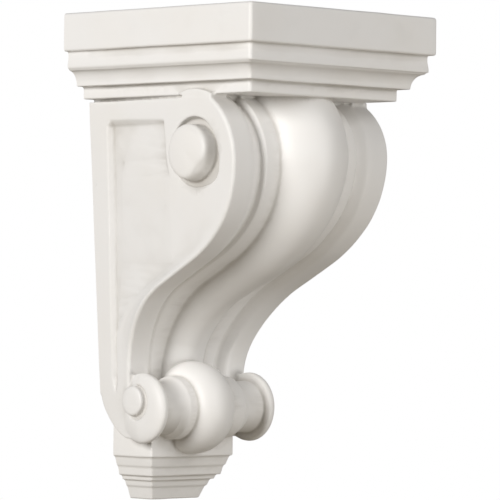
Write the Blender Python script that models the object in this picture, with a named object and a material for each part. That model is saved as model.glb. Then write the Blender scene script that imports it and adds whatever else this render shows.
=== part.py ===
"""Cast stone corbel with a moulded cap, a ribbed scroll front and a pendant block.

The corbel is modelled lying against the wall plane Y = 0, with the front towards -Y and Z up.
Heights are worked out from the foot of the pendant block. The finished solid is then lowered so
that the world origin is the middle of the flat back, where the piece is fixed to the wall.
"""

import math

import bmesh
import bpy
from mathutils import Vector

MM = 0.001

# Overall sizes, in millimetres
WIDTH = 165.1
PROJECTION = 165.1
HEIGHT = 304.8
ORIGIN_HEIGHT = HEIGHT / 2

# Each casting shape runs a little past the wall plane before the back is cut flat
CAP_SURPLUS = 3.0
BODY_SURPLUS = 2.0
BLOCK_SURPLUS = 4.0
BACK_CUT_DEPTH = 10.0

# Cap mouldings: heights from the top down, and insets from the cap's outline
FASCIA_HEIGHT = 23.9
BAND_HEIGHT = 10.7
COVE_HEIGHT = 10.7
NECKING_HEIGHT = 7.7
FASCIA_FOOT = HEIGHT - FASCIA_HEIGHT
BAND_FOOT = FASCIA_FOOT - BAND_HEIGHT
COVE_FOOT = BAND_FOOT - COVE_HEIGHT
SOFFIT = COVE_FOOT - NECKING_HEIGHT
BAND_INSET = 3.8
BAND_FLARE = 0.6
COVE_LIP_HEIGHT = 1.2
COVE_LIP = 4.6
COVE_INSET = 11.2
NECKING_INSET = 17.2
CAP_ARRIS = 1.6
CAP_CORNER_RADIUS = 1.8
CAP_CORNER_STEPS = 3
COVE_STEPS = 6

# Pendant block below the scroll, and its stepped foot as (foot height, foot inset, head inset)
BLOCK_HALF_WIDTH = 36.2
BLOCK_DEPTH = 34.9
BLOCK_CORNER_RADIUS = 0.8
BLOCK_FACE_FOOT = 27.3
BLOCK_FACE_HEIGHT = 32.7
BLOCK_TIERS = (
    (0.0, 15.3, 12.4),
    (8.0, 11.6, 10.2),
    (12.25, 8.3, 7.6),
    (15.1, 5.4, 4.1),
    (21.3, 3.3, 1.4),
)

# Inclined side faces, wider towards the cap and towards the front
SIDE_FOOT_HALF_WIDTH = 43.6
SIDE_INSET_AT_CAP = 21.93
SIDE_FLARE = 0.076

# Widening of the front at the hollow above the roll, which dies out up, down and towards the wall
FLARE_WIDTH = 5.0
FLARE_RISE = 49.7
FLARE_SPREAD_UP = 24.0
FLARE_SPREAD_DOWN = 25.0
FLARE_RUN = 18.0
FLARE_RUN_FOOT = 3.0
FLARE_STEPS = 3
FLARE_LEAST = 0.02

# Scroll front, seen from the side: tangent arcs from the soffit down to the roll
FRONT_SETBACK = 27.4
FRONT_DROP = 38.8
CREST_RADIUS = 43.2
CREST_TURN = 64.0
BELLY_RADIUS = 64.1
BELLY_TURN = 40.5
STRAIGHT_RUN = 32.3
HOLLOW_TO_SWEEP = 0.857
HEEL_RADIUS = 50.5
HEEL_TURN = 26.5
HEEL_REACH = 29.4
HEEL_RISE = 19.8
TUCK_INSET = 24.5
TUCK_DROP = 28.8
LEDGE_CLEARANCE = 0.4

# Cross-section of the ribbed front at the belly (first) and above the roll (second)
ARRIS_CHAMFER = 1.2
BORDER_WIDTH = (16.0, 15.2)
VALLEY_INSET = (27.0, 23.6)
VALLEY_DEPTH = (4.2, 5.6)
FLANK_WIDTH = (2.2, 1.4)
FILLET_DEPTH = (0.4, 5.3)
RIB_HALF_WIDTH = (27.8, 17.6)
RIB_RISE = (19.8, 8.6)
BLEND_RISE = 19.7
RIB_STEPS = 7

# Roll that closes the foot of the scroll, turned about an axis across the width
ROLL_REACH = 38.0
ROLL_HEIGHT = 58.5
ROLL_SEGMENTS = 44
DISC_RADIUS = 22.0
DISC_HALF_LENGTH = 51.8
DISC_WIDTH = 7.6
DISC_RIM = 3.3
DISC_BACK_FALL = 0.18
NECK_RADIUS = 16.4
NECK_FLARE = 3.4
COLLAR_RADIUS = 19.8
COLLAR_OUTER = 24.2
COLLAR_INNER = 9.0
BEAD_RADIUS = 29.2
BEAD_HALF_WIDTH = 14.2
BEAD_FOOT_RADIUS = 20.4
BEAD_OFFSET = -3.2
BEAD_STEPS = 8

# Side plate foot, an arc from the wall to the roll
PLATE_ARC_RISE = 17.0
PLATE_ARC_RADIUS = 38.8
PLATE_ARC_END = 24.0
PLATE_ARC_STEPS = 8
ROLL_EMBED = 9.0

# Volute: an eye in a recess on each side, near the top of the scroll
VOLUTE_SETBACK = 35.4
VOLUTE_RISE = 3.0
VOLUTE_BACK_RADIUS = 28.5
VOLUTE_LAP_RADIUS = 39.2
VOLUTE_LAP_BACK = 16.0
VOLUTE_LAP_FRONT = 14.0
VOLUTE_LAP_SINK = 0.25
RECESS_RADIUS = 21.5
RECESS_CORNER = 3.6
RECESS_CORNER_ANGLE = 218.0
RECESS_CORNER_SPREAD = 24.0
RECESS_DEPTH = 3.8
RECESS_BACK = 1.4
RECESS_LIFT = 0.5
EYE_RADIUS = 16.6
EYE_FACE_RADIUS = 15.2
EYE_PROUD = 5.2
EYE_BACK = 2.7
EYE_LIFT = -0.6
EYE_LEAN_BACK = 1.4
EYE_LEAN_UP = 1.6
EYE_SEGMENTS = 36

# Small eye on each end of the roll, in a shallow recess
BUTTON_BACK = 4.0
BUTTON_LIFT = 4.5
BUTTON_RADIUS = 9.2
BUTTON_PROUD = 2.6
BUTTON_RECESS_RADIUS = 11.4
BUTTON_RECESS_DEPTH = 1.6
BUTTON_RECESS_FRONT = 1.6
BUTTON_RECESS_DROP = 0.8
BUTTON_SEGMENTS = 28

# Sunk panel on each side face, which fades out towards the front ribbon
PANEL_DROP = 13.4
PANEL_FOOT = 66.0
PANEL_EDGE_TOP = 17.0
PANEL_EDGE_FOOT = 12.0
PANEL_DEPTH_TOP = 3.3
PANEL_DEPTH_FOOT = 2.6
PANEL_BEVEL = 2.4
PANEL_LEVEL_SHARE = 0.55
PANEL_FRONT_SETBACK = 31.7
RIBBON_WIDTH = 16.0
PANEL_STEPS = 14

STONE_COLOUR = (0.79, 0.77, 0.735, 1.0)
STONE_ROUGHNESS = 0.62

# Places that follow from the sizes above
FRONT_Y = FRONT_SETBACK - PROJECTION
FRONT_HEIGHT = SOFFIT - FRONT_DROP
HEEL_HEIGHT = ROLL_HEIGHT + HEEL_RISE
ROLL_Y = -ROLL_REACH
VOLUTE_Y = FRONT_Y + VOLUTE_SETBACK
VOLUTE_HEIGHT = FRONT_HEIGHT + VOLUTE_RISE
PANEL_TOP = SOFFIT - PANEL_DROP
PANEL_FRONT = -FRONT_Y - PANEL_FRONT_SETBACK
PLATE_FOOT = ROLL_HEIGHT + PLATE_ARC_RISE
PLATE_FOOT -= math.sqrt(PLATE_ARC_RADIUS ** 2 - (ROLL_REACH - PLATE_ARC_END) ** 2)
SIDE_RISE = (WIDTH / 2 - SIDE_INSET_AT_CAP - SIDE_FOOT_HALF_WIDTH) / SOFFIT


def clear_scene():
    """Remove the objects that the scene starts with."""
    for item in list(bpy.data.objects):
        bpy.data.objects.remove(item, do_unlink=True)


def lerp(pair, blend):
    """Return the value between the two of a pair."""
    return pair[0] + (pair[1] - pair[0]) * blend


def side_half_width(y, z):
    """Return the body's half width where its inclined side face passes (y, z)."""
    return SIDE_FOOT_HALF_WIDTH + SIDE_RISE * z + SIDE_FLARE * (-y)


def place(x, y, z):
    """Turn millimetres above the foot into metres about the origin at the wall."""
    return Vector((x * MM, y * MM, (z - ORIGIN_HEIGHT) * MM))


def side_name(base, side):
    """Name a piece after its side."""
    return base + ("_left" if side < 0 else "_right")


def new_object(name, shape, cutter=True):
    """Make an object from a finished bmesh, with its faces turned outwards."""
    bmesh.ops.recalc_face_normals(shape, faces=shape.faces)
    mesh = bpy.data.meshes.new(name)
    shape.to_mesh(mesh)
    shape.free()
    item = bpy.data.objects.new(name, mesh)
    bpy.context.scene.collection.objects.link(item)
    if cutter:
        item.hide_render = True
        item.display_type = "WIRE"
    return item


def add_boolean(target, other, operation):
    """Join another shape to the target or cut it away."""
    step = target.modifiers.new(other.name, "BOOLEAN")
    step.operation = operation
    step.solver = "EXACT"
    step.object = other


def loft(name, rings, cutter=True):
    """Bridge a list of equal rings of points and close both ends."""
    shape = bmesh.new()
    rows = [[shape.verts.new(point) for point in ring] for ring in rings]
    count = len(rows[0])
    for lower, upper in zip(rows, rows[1:]):
        for i in range(count):
            j = (i + 1) % count
            shape.faces.new((lower[i], lower[j], upper[j], upper[i]))
    shape.faces.new(rows[0][::-1])
    shape.faces.new(rows[-1])
    return new_object(name, shape, cutter)


def mitred_ring(half_width, depth, z, radius, steps, back):
    """Return one outline of a moulding that returns on three sides and runs into the wall."""
    points = [place(half_width, back, z)]
    for side, start in ((1.0, 0.0), (-1.0, 90.0)):
        for k in range(steps + 1):
            angle = math.radians(start + 90.0 * k / steps)
            x = side * (half_width - radius) + radius * math.cos(angle)
            y = -(depth - radius) - radius * math.sin(angle)
            points.append(place(x, y, z))
    points.append(place(-half_width, back, z))
    return points


def cap_profile():
    """Return the cap's mouldings from the soffit up, as (inset, height) pairs."""
    points = [(NECKING_INSET, SOFFIT), (NECKING_INSET, COVE_FOOT), (COVE_INSET, COVE_FOOT)]
    run = COVE_INSET - COVE_LIP
    rise = COVE_HEIGHT - COVE_LIP_HEIGHT
    for k in range(1, COVE_STEPS + 1):
        angle = math.radians(90.0 * k / COVE_STEPS)
        inset = COVE_INSET - run * (1.0 - math.cos(angle))
        points.append((inset, COVE_FOOT + rise * math.sin(angle)))
    face = BAND_INSET - BAND_FLARE
    points += [
        (COVE_LIP, BAND_FOOT),
        (face, BAND_FOOT),
        (face, BAND_FOOT + BAND_HEIGHT * 0.2),
        (BAND_INSET, BAND_FOOT + BAND_HEIGHT * 0.6),
        (BAND_INSET, FASCIA_FOOT),
        (CAP_ARRIS * 0.6, FASCIA_FOOT),
        (0.0, FASCIA_FOOT + CAP_ARRIS),
        (0.0, HEIGHT - CAP_ARRIS),
        (CAP_ARRIS * 0.3, HEIGHT - CAP_ARRIS * 0.3),
        (CAP_ARRIS, HEIGHT),
    ]
    return points


def make_cap():
    """Build the moulded cap."""
    rings = []
    for inset, z in cap_profile():
        rings.append(mitred_ring(WIDTH / 2 - inset, PROJECTION - inset, z,
                                 CAP_CORNER_RADIUS, CAP_CORNER_STEPS, CAP_SURPLUS))
    return loft("corbel", rings, cutter=False)


def make_block():
    """Build the pendant block with its stepped foot."""
    profile = []
    heads = [tier[0] for tier in BLOCK_TIERS[1:]] + [BLOCK_FACE_FOOT]
    for (foot, foot_inset, head_inset), head in zip(BLOCK_TIERS, heads):
        profile.append((foot_inset, foot))
        profile.append((head_inset, head))
    profile.append((0.0, BLOCK_FACE_FOOT))
    profile.append((0.0, BLOCK_FACE_FOOT + BLOCK_FACE_HEIGHT))
    rings = []
    for inset, z in profile:
        rings.append(mitred_ring(BLOCK_HALF_WIDTH - inset, BLOCK_DEPTH - inset, z,
                                 BLOCK_CORNER_RADIUS, 1, BLOCK_SURPLUS))
    return loft("block", rings)


def sweep_radii(heading):
    """Return the sweep's radius twice, as the run and as the fall ask for it at a heading."""
    belly, heel = math.radians(BELLY_TURN), math.radians(HEEL_TURN)
    run = -HEEL_REACH - FRONT_Y - STRAIGHT_RUN * math.sin(heading)
    run -= BELLY_RADIUS * (1.0 - math.cos(belly)) + HEEL_RADIUS * (1.0 - math.cos(heel))
    fall = FRONT_HEIGHT - HEEL_HEIGHT - STRAIGHT_RUN * math.cos(heading)
    fall -= BELLY_RADIUS * math.sin(belly) + HEEL_RADIUS * math.sin(heel)
    run_share = math.cos(belly) - math.cos(heading)
    run_share += HOLLOW_TO_SWEEP * (math.cos(heel) - math.cos(heading))
    fall_share = math.sin(heading) - math.sin(belly)
    fall_share += HOLLOW_TO_SWEEP * (math.sin(heading) - math.sin(heel))
    return run / run_share, fall / fall_share


def steepest_heading():
    """Find the heading of the straight at which the sweep and the hollow meet it."""
    low, high = math.radians(BELLY_TURN + 0.5), math.radians(89.0)
    for _ in range(60):
        middle = (low + high) / 2
        by_run, by_fall = sweep_radii(middle)
        if by_run > by_fall:
            low = middle
        else:
            high = middle
    return (low + high) / 2


def scroll_stations():
    """Return the stations down the front arris, as (y, z, outward y, outward z, blend)."""
    stations = []
    for k in range(8):
        angle = math.radians(CREST_TURN * (1.0 - k / 8))
        y = FRONT_Y + CREST_RADIUS * (1.0 - math.cos(angle))
        z = FRONT_HEIGHT + CREST_RADIUS * math.sin(angle)
        stations.append((y, z, -math.cos(angle), math.sin(angle)))
    steepest = steepest_heading()
    sweep_radius = sweep_radii(steepest)[0]
    belly, heel = math.radians(BELLY_TURN), math.radians(HEEL_TURN)
    y, z, heading = FRONT_Y, FRONT_HEIGHT, 0.0
    stations.append((y, z, -1.0, 0.0))
    arcs = ((BELLY_RADIUS, belly, 7), (sweep_radius, steepest, 4), (0.0, steepest, 2),
            (sweep_radius * HOLLOW_TO_SWEEP, heel, 6), (HEEL_RADIUS, 0.0, 4))
    for radius, goal, steps in arcs:
        start, base_y, base_z = heading, y, z
        for k in range(1, steps + 1):
            if radius == 0.0:
                run = STRAIGHT_RUN * k / steps
                y = base_y + run * math.sin(heading)
                z = base_z - run * math.cos(heading)
            else:
                heading = start + (goal - start) * k / steps
                side = math.copysign(1.0, goal - start)
                y = base_y + side * radius * (math.cos(start) - math.cos(heading))
                z = base_z - side * radius * (math.sin(heading) - math.sin(start))
            stations.append((y, z, -math.cos(heading), -math.sin(heading)))
    stations.append((y, ROLL_HEIGHT - ROLL_EMBED, -1.0, 0.0))
    stations.append((y, PLATE_FOOT, -1.0, 0.0))
    rows = []
    foot = HEEL_HEIGHT + BLEND_RISE
    for y, z, out_y, out_z in stations:
        blend = min(max((FRONT_HEIGHT - z) / (FRONT_HEIGHT - foot), 0.0), 1.0)
        rows.append((y, z, out_y, out_z, blend))
    return rows


def front_section(half_width, blend):
    """Return the ribbed section from the arris to the centre line, as (x, proud) pairs."""
    valley = half_width - lerp(VALLEY_INSET, blend)
    border = half_width - lerp(BORDER_WIDTH, blend)
    depth = lerp(VALLEY_DEPTH, blend)
    foot = lerp(FILLET_DEPTH, blend)
    rib = lerp(RIB_HALF_WIDTH, blend)
    rise = lerp(RIB_RISE, blend)
    points = [
        (half_width - ARRIS_CHAMFER, 0.0),
        (border, 0.0),
        (border + (valley - border) * 0.4, -depth * 0.24),
        (border + (valley - border) * 0.8, -depth * 0.76),
        (valley, -depth),
        (valley - lerp(FLANK_WIDTH, blend), -foot),
        (rib, -foot),
    ]
    radius = (rib * rib + rise * rise) / (2.0 * rise)
    limit = math.asin(min(rib / radius, 1.0))
    for k in range(1, RIB_STEPS):
        angle = limit * (1.0 - k / RIB_STEPS)
        points.append((radius * math.sin(angle), rise - foot - radius * (1.0 - math.cos(angle))))
    points.append((0.0, rise - foot))
    return points


def front_flare(z):
    """Return how far the front arris stands out of the inclined side face at a height."""
    above = z - HEEL_HEIGHT - FLARE_RISE
    spread = FLARE_SPREAD_UP if above > 0.0 else FLARE_SPREAD_DOWN
    flare = FLARE_WIDTH * math.exp(-(above / spread) ** 2)
    return flare if flare > FLARE_LEAST else 0.0


def flare_strip(y, z):
    """Return the points that lead from the side face out to the flared arris at (y, z)."""
    share = min(max((z - HEEL_HEIGHT) / FLARE_RISE, 0.0), 1.0)
    run = FLARE_RUN_FOOT + (FLARE_RUN - FLARE_RUN_FOOT) * share
    points = []
    for k in range(FLARE_STEPS, -1, -1):
        back = k / FLARE_STEPS
        point_y = y + run * back
        x = side_half_width(point_y, z) + front_flare(z) * (1.0 - back) ** 2
        points.append((x, point_y, z))
    return points


def front_rows():
    """Return the rows of points across the ribbed front, from the cap down."""
    rows = []
    for y, z, out_y, out_z, blend in scroll_stations():
        relief = 0.0 if z == PLATE_FOOT else 1.0
        edge_y = y - out_y * ARRIS_CHAMFER * relief
        edge_z = z - out_z * ARRIS_CHAMFER * relief
        half = flare_strip(edge_y, edge_z)
        for x, proud in front_section(side_half_width(y, z) + front_flare(z), blend):
            half.append((x, y + out_y * proud * relief, z + out_z * proud * relief))
        rows.append([(-x, py, pz) for x, py, pz in half] + half[-2::-1])
    top = rows[0]
    scale = (WIDTH / 2 - TUCK_INSET) / top[-1][0]
    rows.insert(0, [(x * scale, y, HEIGHT - TUCK_DROP) for x, y, z in top])
    return rows


def plate_foot_arc():
    """Return the side plate's lower edge from the wall to the roll, as (y, z) pairs."""
    centre = ROLL_HEIGHT + PLATE_ARC_RISE
    points = []
    for k in range(PLATE_ARC_STEPS + 1):
        share = 1.0 - math.cos(math.radians(90.0 * k / PLATE_ARC_STEPS))
        y = -PLATE_ARC_END * share
        if k == 0:
            y = -0.3
        points.append((y, centre - math.sqrt(PLATE_ARC_RADIUS ** 2 - (y - ROLL_Y) ** 2)))
    return [(BODY_SURPLUS, points[0][1] + 0.6)] + points


def make_body():
    """Build the slab with the ribbed scroll front and the arched foot."""
    shape = bmesh.new()
    grid = [[shape.verts.new(place(*point)) for point in row] for row in front_rows()]
    for upper, lower in zip(grid, grid[1:]):
        for i in range(len(upper) - 1):
            shape.faces.new((upper[i], lower[i], lower[i + 1], upper[i + 1]))
    tuck = WIDTH / 2 - TUCK_INSET * 1.3
    wall_edge = [(BODY_SURPLUS, SOFFIT - LEDGE_CLEARANCE)] + plate_foot_arc()
    columns = []
    peak = []
    for side in (-1.0, 1.0):
        peak.append(shape.verts.new(place(side * tuck, BODY_SURPLUS, HEIGHT - TUCK_DROP)))
        columns.append([shape.verts.new(place(side * side_half_width(y, z), y, z)) for y, z in wall_edge])
    left, right = columns
    edge_left = [row[0] for row in grid]
    edge_right = [row[-1] for row in grid]
    shape.faces.new(edge_left[1:] + left[::-1])
    shape.faces.new(edge_right[1:] + right[::-1])
    shape.faces.new((peak[0], left[0], edge_left[1], edge_left[0]))
    shape.faces.new((peak[1], right[0], edge_right[1], edge_right[0]))
    shape.faces.new(peak + grid[0][::-1])
    shape.faces.new((peak[0], peak[1], right[0], left[0]))
    for i in range(len(left) - 1):
        shape.faces.new((left[i], right[i], right[i + 1], left[i + 1]))
    shape.faces.new([left[-1], right[-1]] + grid[-1][::-1])
    return new_object("body", shape)


def roll_half(foot):
    """Return half the roll's outline from its end to the bead's foot, as (x, radius) pairs."""
    inner = DISC_HALF_LENGTH - DISC_WIDTH
    return [
        (DISC_HALF_LENGTH, DISC_RADIUS - 9.0),
        (DISC_HALF_LENGTH - DISC_RIM * 0.15, DISC_RADIUS - 5.4),
        (DISC_HALF_LENGTH - DISC_RIM * 0.45, DISC_RADIUS - 2.2),
        (DISC_HALF_LENGTH - DISC_RIM, DISC_RADIUS),
        (inner + 2.4, DISC_RADIUS - 0.4),
        (inner + 0.9, DISC_RADIUS - 2.0),
        (inner, DISC_RADIUS - 4.4),
        (inner - 1.2, NECK_RADIUS + 0.3),
        (inner - 7.0, NECK_RADIUS),
        (COLLAR_OUTER + 8.0, NECK_RADIUS + NECK_FLARE * 0.15),
        (COLLAR_OUTER + 4.0, NECK_RADIUS + NECK_FLARE * 0.5),
        (COLLAR_OUTER + 1.0, COLLAR_RADIUS - 0.8),
        (COLLAR_OUTER - 1.2, COLLAR_RADIUS),
        (foot, COLLAR_RADIUS),
    ]


def roll_profile():
    """Return the roll's outline from one end to the other, as (x, radius) pairs."""
    right = roll_half(COLLAR_INNER)
    left = [(-x, radius) for x, radius in reversed(roll_half(COLLAR_INNER))]
    return right + left


def bead_profile():
    """Return the bead's outline, as (x, radius) pairs."""
    rise = BEAD_RADIUS - BEAD_FOOT_RADIUS
    points = [(BEAD_OFFSET + BEAD_HALF_WIDTH, BEAD_FOOT_RADIUS * 0.6)]
    for k in range(-BEAD_STEPS, BEAD_STEPS + 1):
        angle = math.radians(90.0 * k / BEAD_STEPS)
        x = BEAD_OFFSET - BEAD_HALF_WIDTH * math.sin(angle)
        points.append((x, BEAD_FOOT_RADIUS + rise * math.cos(angle)))
    points.append((BEAD_OFFSET - BEAD_HALF_WIDTH, BEAD_FOOT_RADIUS * 0.6))
    return points


def turned(name, profile, y, z, segments, radius_at=None, shift_at=None):
    """Turn a profile of (x, radius) pairs about an axis parallel to X through (y, z).

    Args:
        name: the object's name.
        profile: (x, radius) pairs, or (x, radius, back, lift) where a ring's centre leans.
        y: the axis's place out from the wall.
        z: the axis's height above the foot.
        segments: points round each ring.
        radius_at: added radius at an angle in degrees, if the rings aren't round.
        shift_at: added x at a point (y, z), if the rings aren't flat.
    """
    rings = []
    for x, radius, *lean in profile:
        back, lift = lean if lean else (0.0, 0.0)
        ring = []
        for k in range(segments):
            degrees = 360.0 * k / segments
            reach = radius + (radius_at(degrees) if radius_at else 0.0)
            ring_y = y + back + reach * math.cos(math.radians(degrees))
            ring_z = z + lift + reach * math.sin(math.radians(degrees))
            shift = shift_at(x, ring_y, ring_z) if shift_at else 0.0
            ring.append(place(x + shift, ring_y, ring_z))
        rings.append(ring)
    return loft(name, rings)


def disc_shift(x, y, z):
    """Let the roll's end faces fall back towards the wall, to meet the side plates."""
    share = (abs(x) - DISC_HALF_LENGTH + DISC_WIDTH) / DISC_WIDTH
    if share <= 0.0:
        return 0.0
    return -math.copysign(max(0.0, y - ROLL_Y) * DISC_BACK_FALL * share, x)


def make_roll():
    """Build the roll with its end discs, necks and collars."""
    return turned("roll", roll_profile(), ROLL_Y, ROLL_HEIGHT, ROLL_SEGMENTS, shift_at=disc_shift)


def make_bead():
    """Build the bead round the middle of the roll."""
    return turned("bead", bead_profile(), ROLL_Y, ROLL_HEIGHT, ROLL_SEGMENTS)


def make_button(side):
    """Build the small eye on one end of the roll."""
    face = DISC_HALF_LENGTH + BUTTON_PROUD - BUTTON_BACK * DISC_BACK_FALL
    profile = [
        (side * (DISC_HALF_LENGTH - 12.0), BUTTON_RADIUS),
        (side * (face - 1.2), BUTTON_RADIUS),
        (side * (face - 0.3), BUTTON_RADIUS - 1.2),
        (side * face, BUTTON_RADIUS * 0.4),
    ]
    return turned(side_name("button", side), profile, ROLL_Y + BUTTON_BACK, ROLL_HEIGHT + BUTTON_LIFT,
                  BUTTON_SEGMENTS)


def make_button_recess(side):
    """Build the cutter for the shallow recess about the small eye."""
    face = DISC_HALF_LENGTH - BUTTON_BACK * DISC_BACK_FALL
    profile = [
        (side * (face - BUTTON_RECESS_DEPTH), BUTTON_RECESS_RADIUS - 0.5),
        (side * (face + 4.0), BUTTON_RECESS_RADIUS + 1.2),
    ]
    return turned(side_name("button_recess", side), profile,
                  ROLL_Y + BUTTON_BACK - BUTTON_RECESS_FRONT,
                  ROLL_HEIGHT + BUTTON_LIFT - BUTTON_RECESS_DROP, BUTTON_SEGMENTS)


def make_eye(side):
    """Build the volute's domed eye, which leans up and back as it rises."""
    face = side_half_width(VOLUTE_Y, VOLUTE_HEIGHT)
    top = face + EYE_PROUD
    half_back, half_up = EYE_LEAN_BACK * 0.5, EYE_LEAN_UP * 0.5
    profile = [
        (side * (face - RECESS_DEPTH * 4.0), EYE_RADIUS),
        (side * (face - RECESS_DEPTH * 0.4), EYE_RADIUS),
        (side * (top - 3.4), (EYE_RADIUS + EYE_FACE_RADIUS) * 0.5, half_back, half_up),
        (side * (top - 1.9), EYE_FACE_RADIUS, EYE_LEAN_BACK, EYE_LEAN_UP),
        (side * (top - 0.9), EYE_FACE_RADIUS * 0.82, EYE_LEAN_BACK, EYE_LEAN_UP),
        (side * (top - 0.25), EYE_FACE_RADIUS * 0.5, EYE_LEAN_BACK, EYE_LEAN_UP),
        (side * top, EYE_FACE_RADIUS * 0.2, EYE_LEAN_BACK, EYE_LEAN_UP),
    ]
    return turned(side_name("eye", side), profile, VOLUTE_Y + EYE_BACK, VOLUTE_HEIGHT + EYE_LIFT,
                  EYE_SEGMENTS)


def recess_corner(degrees):
    """Return how much the recess widens at an angle, which squares its lower front corner."""
    off = (degrees - RECESS_CORNER_ANGLE) / RECESS_CORNER_SPREAD
    return RECESS_CORNER * math.exp(-off * off)


def make_recess(side):
    """Build the cutter for the recess about one eye."""
    y = VOLUTE_Y + RECESS_BACK
    z = VOLUTE_HEIGHT + RECESS_LIFT
    face = side_half_width(y, z)
    profile = [
        (side * (face - RECESS_DEPTH), RECESS_RADIUS - 0.4),
        (side * (face + 8.0), RECESS_RADIUS + 0.8),
    ]
    return turned(side_name("recess", side), profile, y, z, EYE_SEGMENTS, radius_at=recess_corner)


def side_prism(name, side, outlines):
    """Build a piece from outlines of (y, z) pairs at distances out from the side face."""
    rings = []
    for lift, outline in outlines:
        rings.append([place(side * (side_half_width(y, z) + lift), y, z) for y, z in outline])
    return loft(name, rings)


def make_lap(side):
    """Build the top of the volute, which laps over the cap's lowest band."""
    outline = []
    low = SOFFIT - 6.0
    back, front = VOLUTE_Y + VOLUTE_LAP_BACK, VOLUTE_Y - VOLUTE_LAP_FRONT
    for k in range(9):
        y = back + (front - back) * k / 8
        outline.append((y, VOLUTE_HEIGHT + math.sqrt(VOLUTE_LAP_RADIUS ** 2 - (y - VOLUTE_Y) ** 2)))
    outline += [(front, low), (back, low)]
    return side_prism(side_name("lap", side), side,
                      [(-14.0, outline), (-VOLUTE_LAP_SINK, outline)])


def make_volute_guard(side):
    """Build the shape that keeps the panel out of the volute's outer ring."""
    outlines = []
    for lift in (-6.0, 6.0):
        radius = VOLUTE_BACK_RADIUS - lift
        outline = []
        for k in range(13):
            angle = math.radians(-90.0 + 90.0 * k / 12)
            outline.append((VOLUTE_Y + radius * math.cos(angle), VOLUTE_HEIGHT + radius * math.sin(angle)))
        top = PANEL_TOP + 14.0
        front = VOLUTE_Y - VOLUTE_BACK_RADIUS * 1.5
        outline += [(VOLUTE_Y + radius + 1.2, top), (front, top), (front, VOLUTE_HEIGHT - radius)]
        outlines.append((lift, outline))
    return side_prism(side_name("volute_guard", side), side, outlines)


def front_arris(z):
    """Return the front arris's distance from the wall at a height."""
    stations = scroll_stations()
    for upper, lower in zip(stations, stations[1:]):
        if lower[1] <= z <= upper[1]:
            share = (upper[1] - z) / (upper[1] - lower[1])
            return -(upper[0] + (lower[0] - upper[0]) * share)
    return -FRONT_Y


def panel_levels():
    """Return the panel cutter's levels, as (height, how far the section is lifted out)."""
    levels = [(PANEL_FOOT, 1.15), (PANEL_FOOT + 6.0, 0.35)]
    low, high = PANEL_FOOT + 12.0, PANEL_TOP - PANEL_BEVEL
    for k in range(PANEL_STEPS):
        share = k / (PANEL_STEPS - 1)
        levels.append((low + (high - low) * share ** 1.3, 0.0))
    return levels + [(PANEL_TOP, 1.0), (PANEL_TOP + PANEL_BEVEL, 2.0)]


def make_panel(side):
    """Build the cutter for the sunk panel."""
    rings = []
    for z, lift in panel_levels():
        share = (z - PANEL_FOOT) / (PANEL_TOP - PANEL_FOOT)
        edge = PANEL_EDGE_FOOT + (PANEL_EDGE_TOP - PANEL_EDGE_FOOT) * share
        depth = PANEL_DEPTH_FOOT + (PANEL_DEPTH_TOP - PANEL_DEPTH_FOOT) * share
        fade = PANEL_FRONT
        if z < VOLUTE_HEIGHT - VOLUTE_BACK_RADIUS:
            fade = min(PANEL_FRONT, front_arris(z) - RIBBON_WIDTH)
        fade = max(fade, edge + PANEL_BEVEL * 1.5)
        beyond = (fade - edge - PANEL_BEVEL) * 0.5
        section = (
            (edge - PANEL_BEVEL * 1.5, -depth * 1.5),
            (edge + PANEL_BEVEL, depth),
            (edge + PANEL_BEVEL + (fade - edge - PANEL_BEVEL) * PANEL_LEVEL_SHARE, depth * 0.8),
            (fade + beyond, -depth * 0.5),
            (fade + beyond, -depth * 0.5 - 6.0),
            (edge - PANEL_BEVEL * 1.5, -depth * 1.5 - 6.0),
        )
        ring = []
        for forward, sunk in section:
            x = side_half_width(-forward, z) - sunk + lift * depth
            ring.append(place(side * x, -forward, z))
        rings.append(ring)
    cutter = loft(side_name("panel", side), rings)
    add_boolean(cutter, make_volute_guard(side), "DIFFERENCE")
    return cutter


def make_back_cut():
    """Build the cutter that leaves the back flat against the wall."""
    corners = ((-WIDTH, -WIDTH), (WIDTH, -WIDTH), (WIDTH, HEIGHT + WIDTH), (-WIDTH, HEIGHT + WIDTH))
    rings = [[place(x, y, z) for x, z in corners] for y in (0.0, BACK_CUT_DEPTH)]
    return loft("back_cut", rings)


def make_stone():
    """Return the pale cast stone's material."""
    stone = bpy.data.materials.new("cast_stone")
    stone.use_nodes = True
    shader = stone.node_tree.nodes["Principled BSDF"]
    shader.inputs["Base Color"].default_value = STONE_COLOUR
    shader.inputs["Roughness"].default_value = STONE_ROUGHNESS
    shader.inputs["Metallic"].default_value = 0.0
    return stone


def build_corbel():
    """Build the corbel as one solid."""
    corbel = make_cap()
    add_boolean(corbel, make_block(), "UNION")
    body = make_body()
    for side in (-1.0, 1.0):
        add_boolean(body, make_panel(side), "DIFFERENCE")
        add_boolean(body, make_recess(side), "DIFFERENCE")
    add_boolean(corbel, body, "UNION")
    roll = make_roll()
    add_boolean(corbel, roll, "UNION")
    add_boolean(corbel, make_bead(), "UNION")
    for side in (-1.0, 1.0):
        add_boolean(corbel, make_lap(side), "UNION")
        add_boolean(corbel, make_eye(side), "UNION")
        add_boolean(corbel, make_button_recess(side), "DIFFERENCE")
        add_boolean(corbel, make_button(side), "UNION")
    add_boolean(corbel, make_back_cut(), "DIFFERENCE")
    corbel.data.materials.append(make_stone())
    corbel.data.shade_smooth()
    corbel.data.set_sharp_from_angle(angle=math.radians(32.0))
    return corbel


clear_scene()
build_corbel()
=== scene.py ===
"""Dressed model of a cast stone corbel: a fine casting mesh, its off-white finish and a studio.

The casting lies against the wall plane Y = 0 with its front towards -Y. Sizes are in millimetres
and heights are measured from the foot of the pendant block, as a caster would set them out. The
helper `place` turns them into metres about the origin, which is the middle of the flat back.
"""

import logging
import math
from collections.abc import Callable, Sequence
from dataclasses import dataclass, field
from enum import Enum

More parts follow.
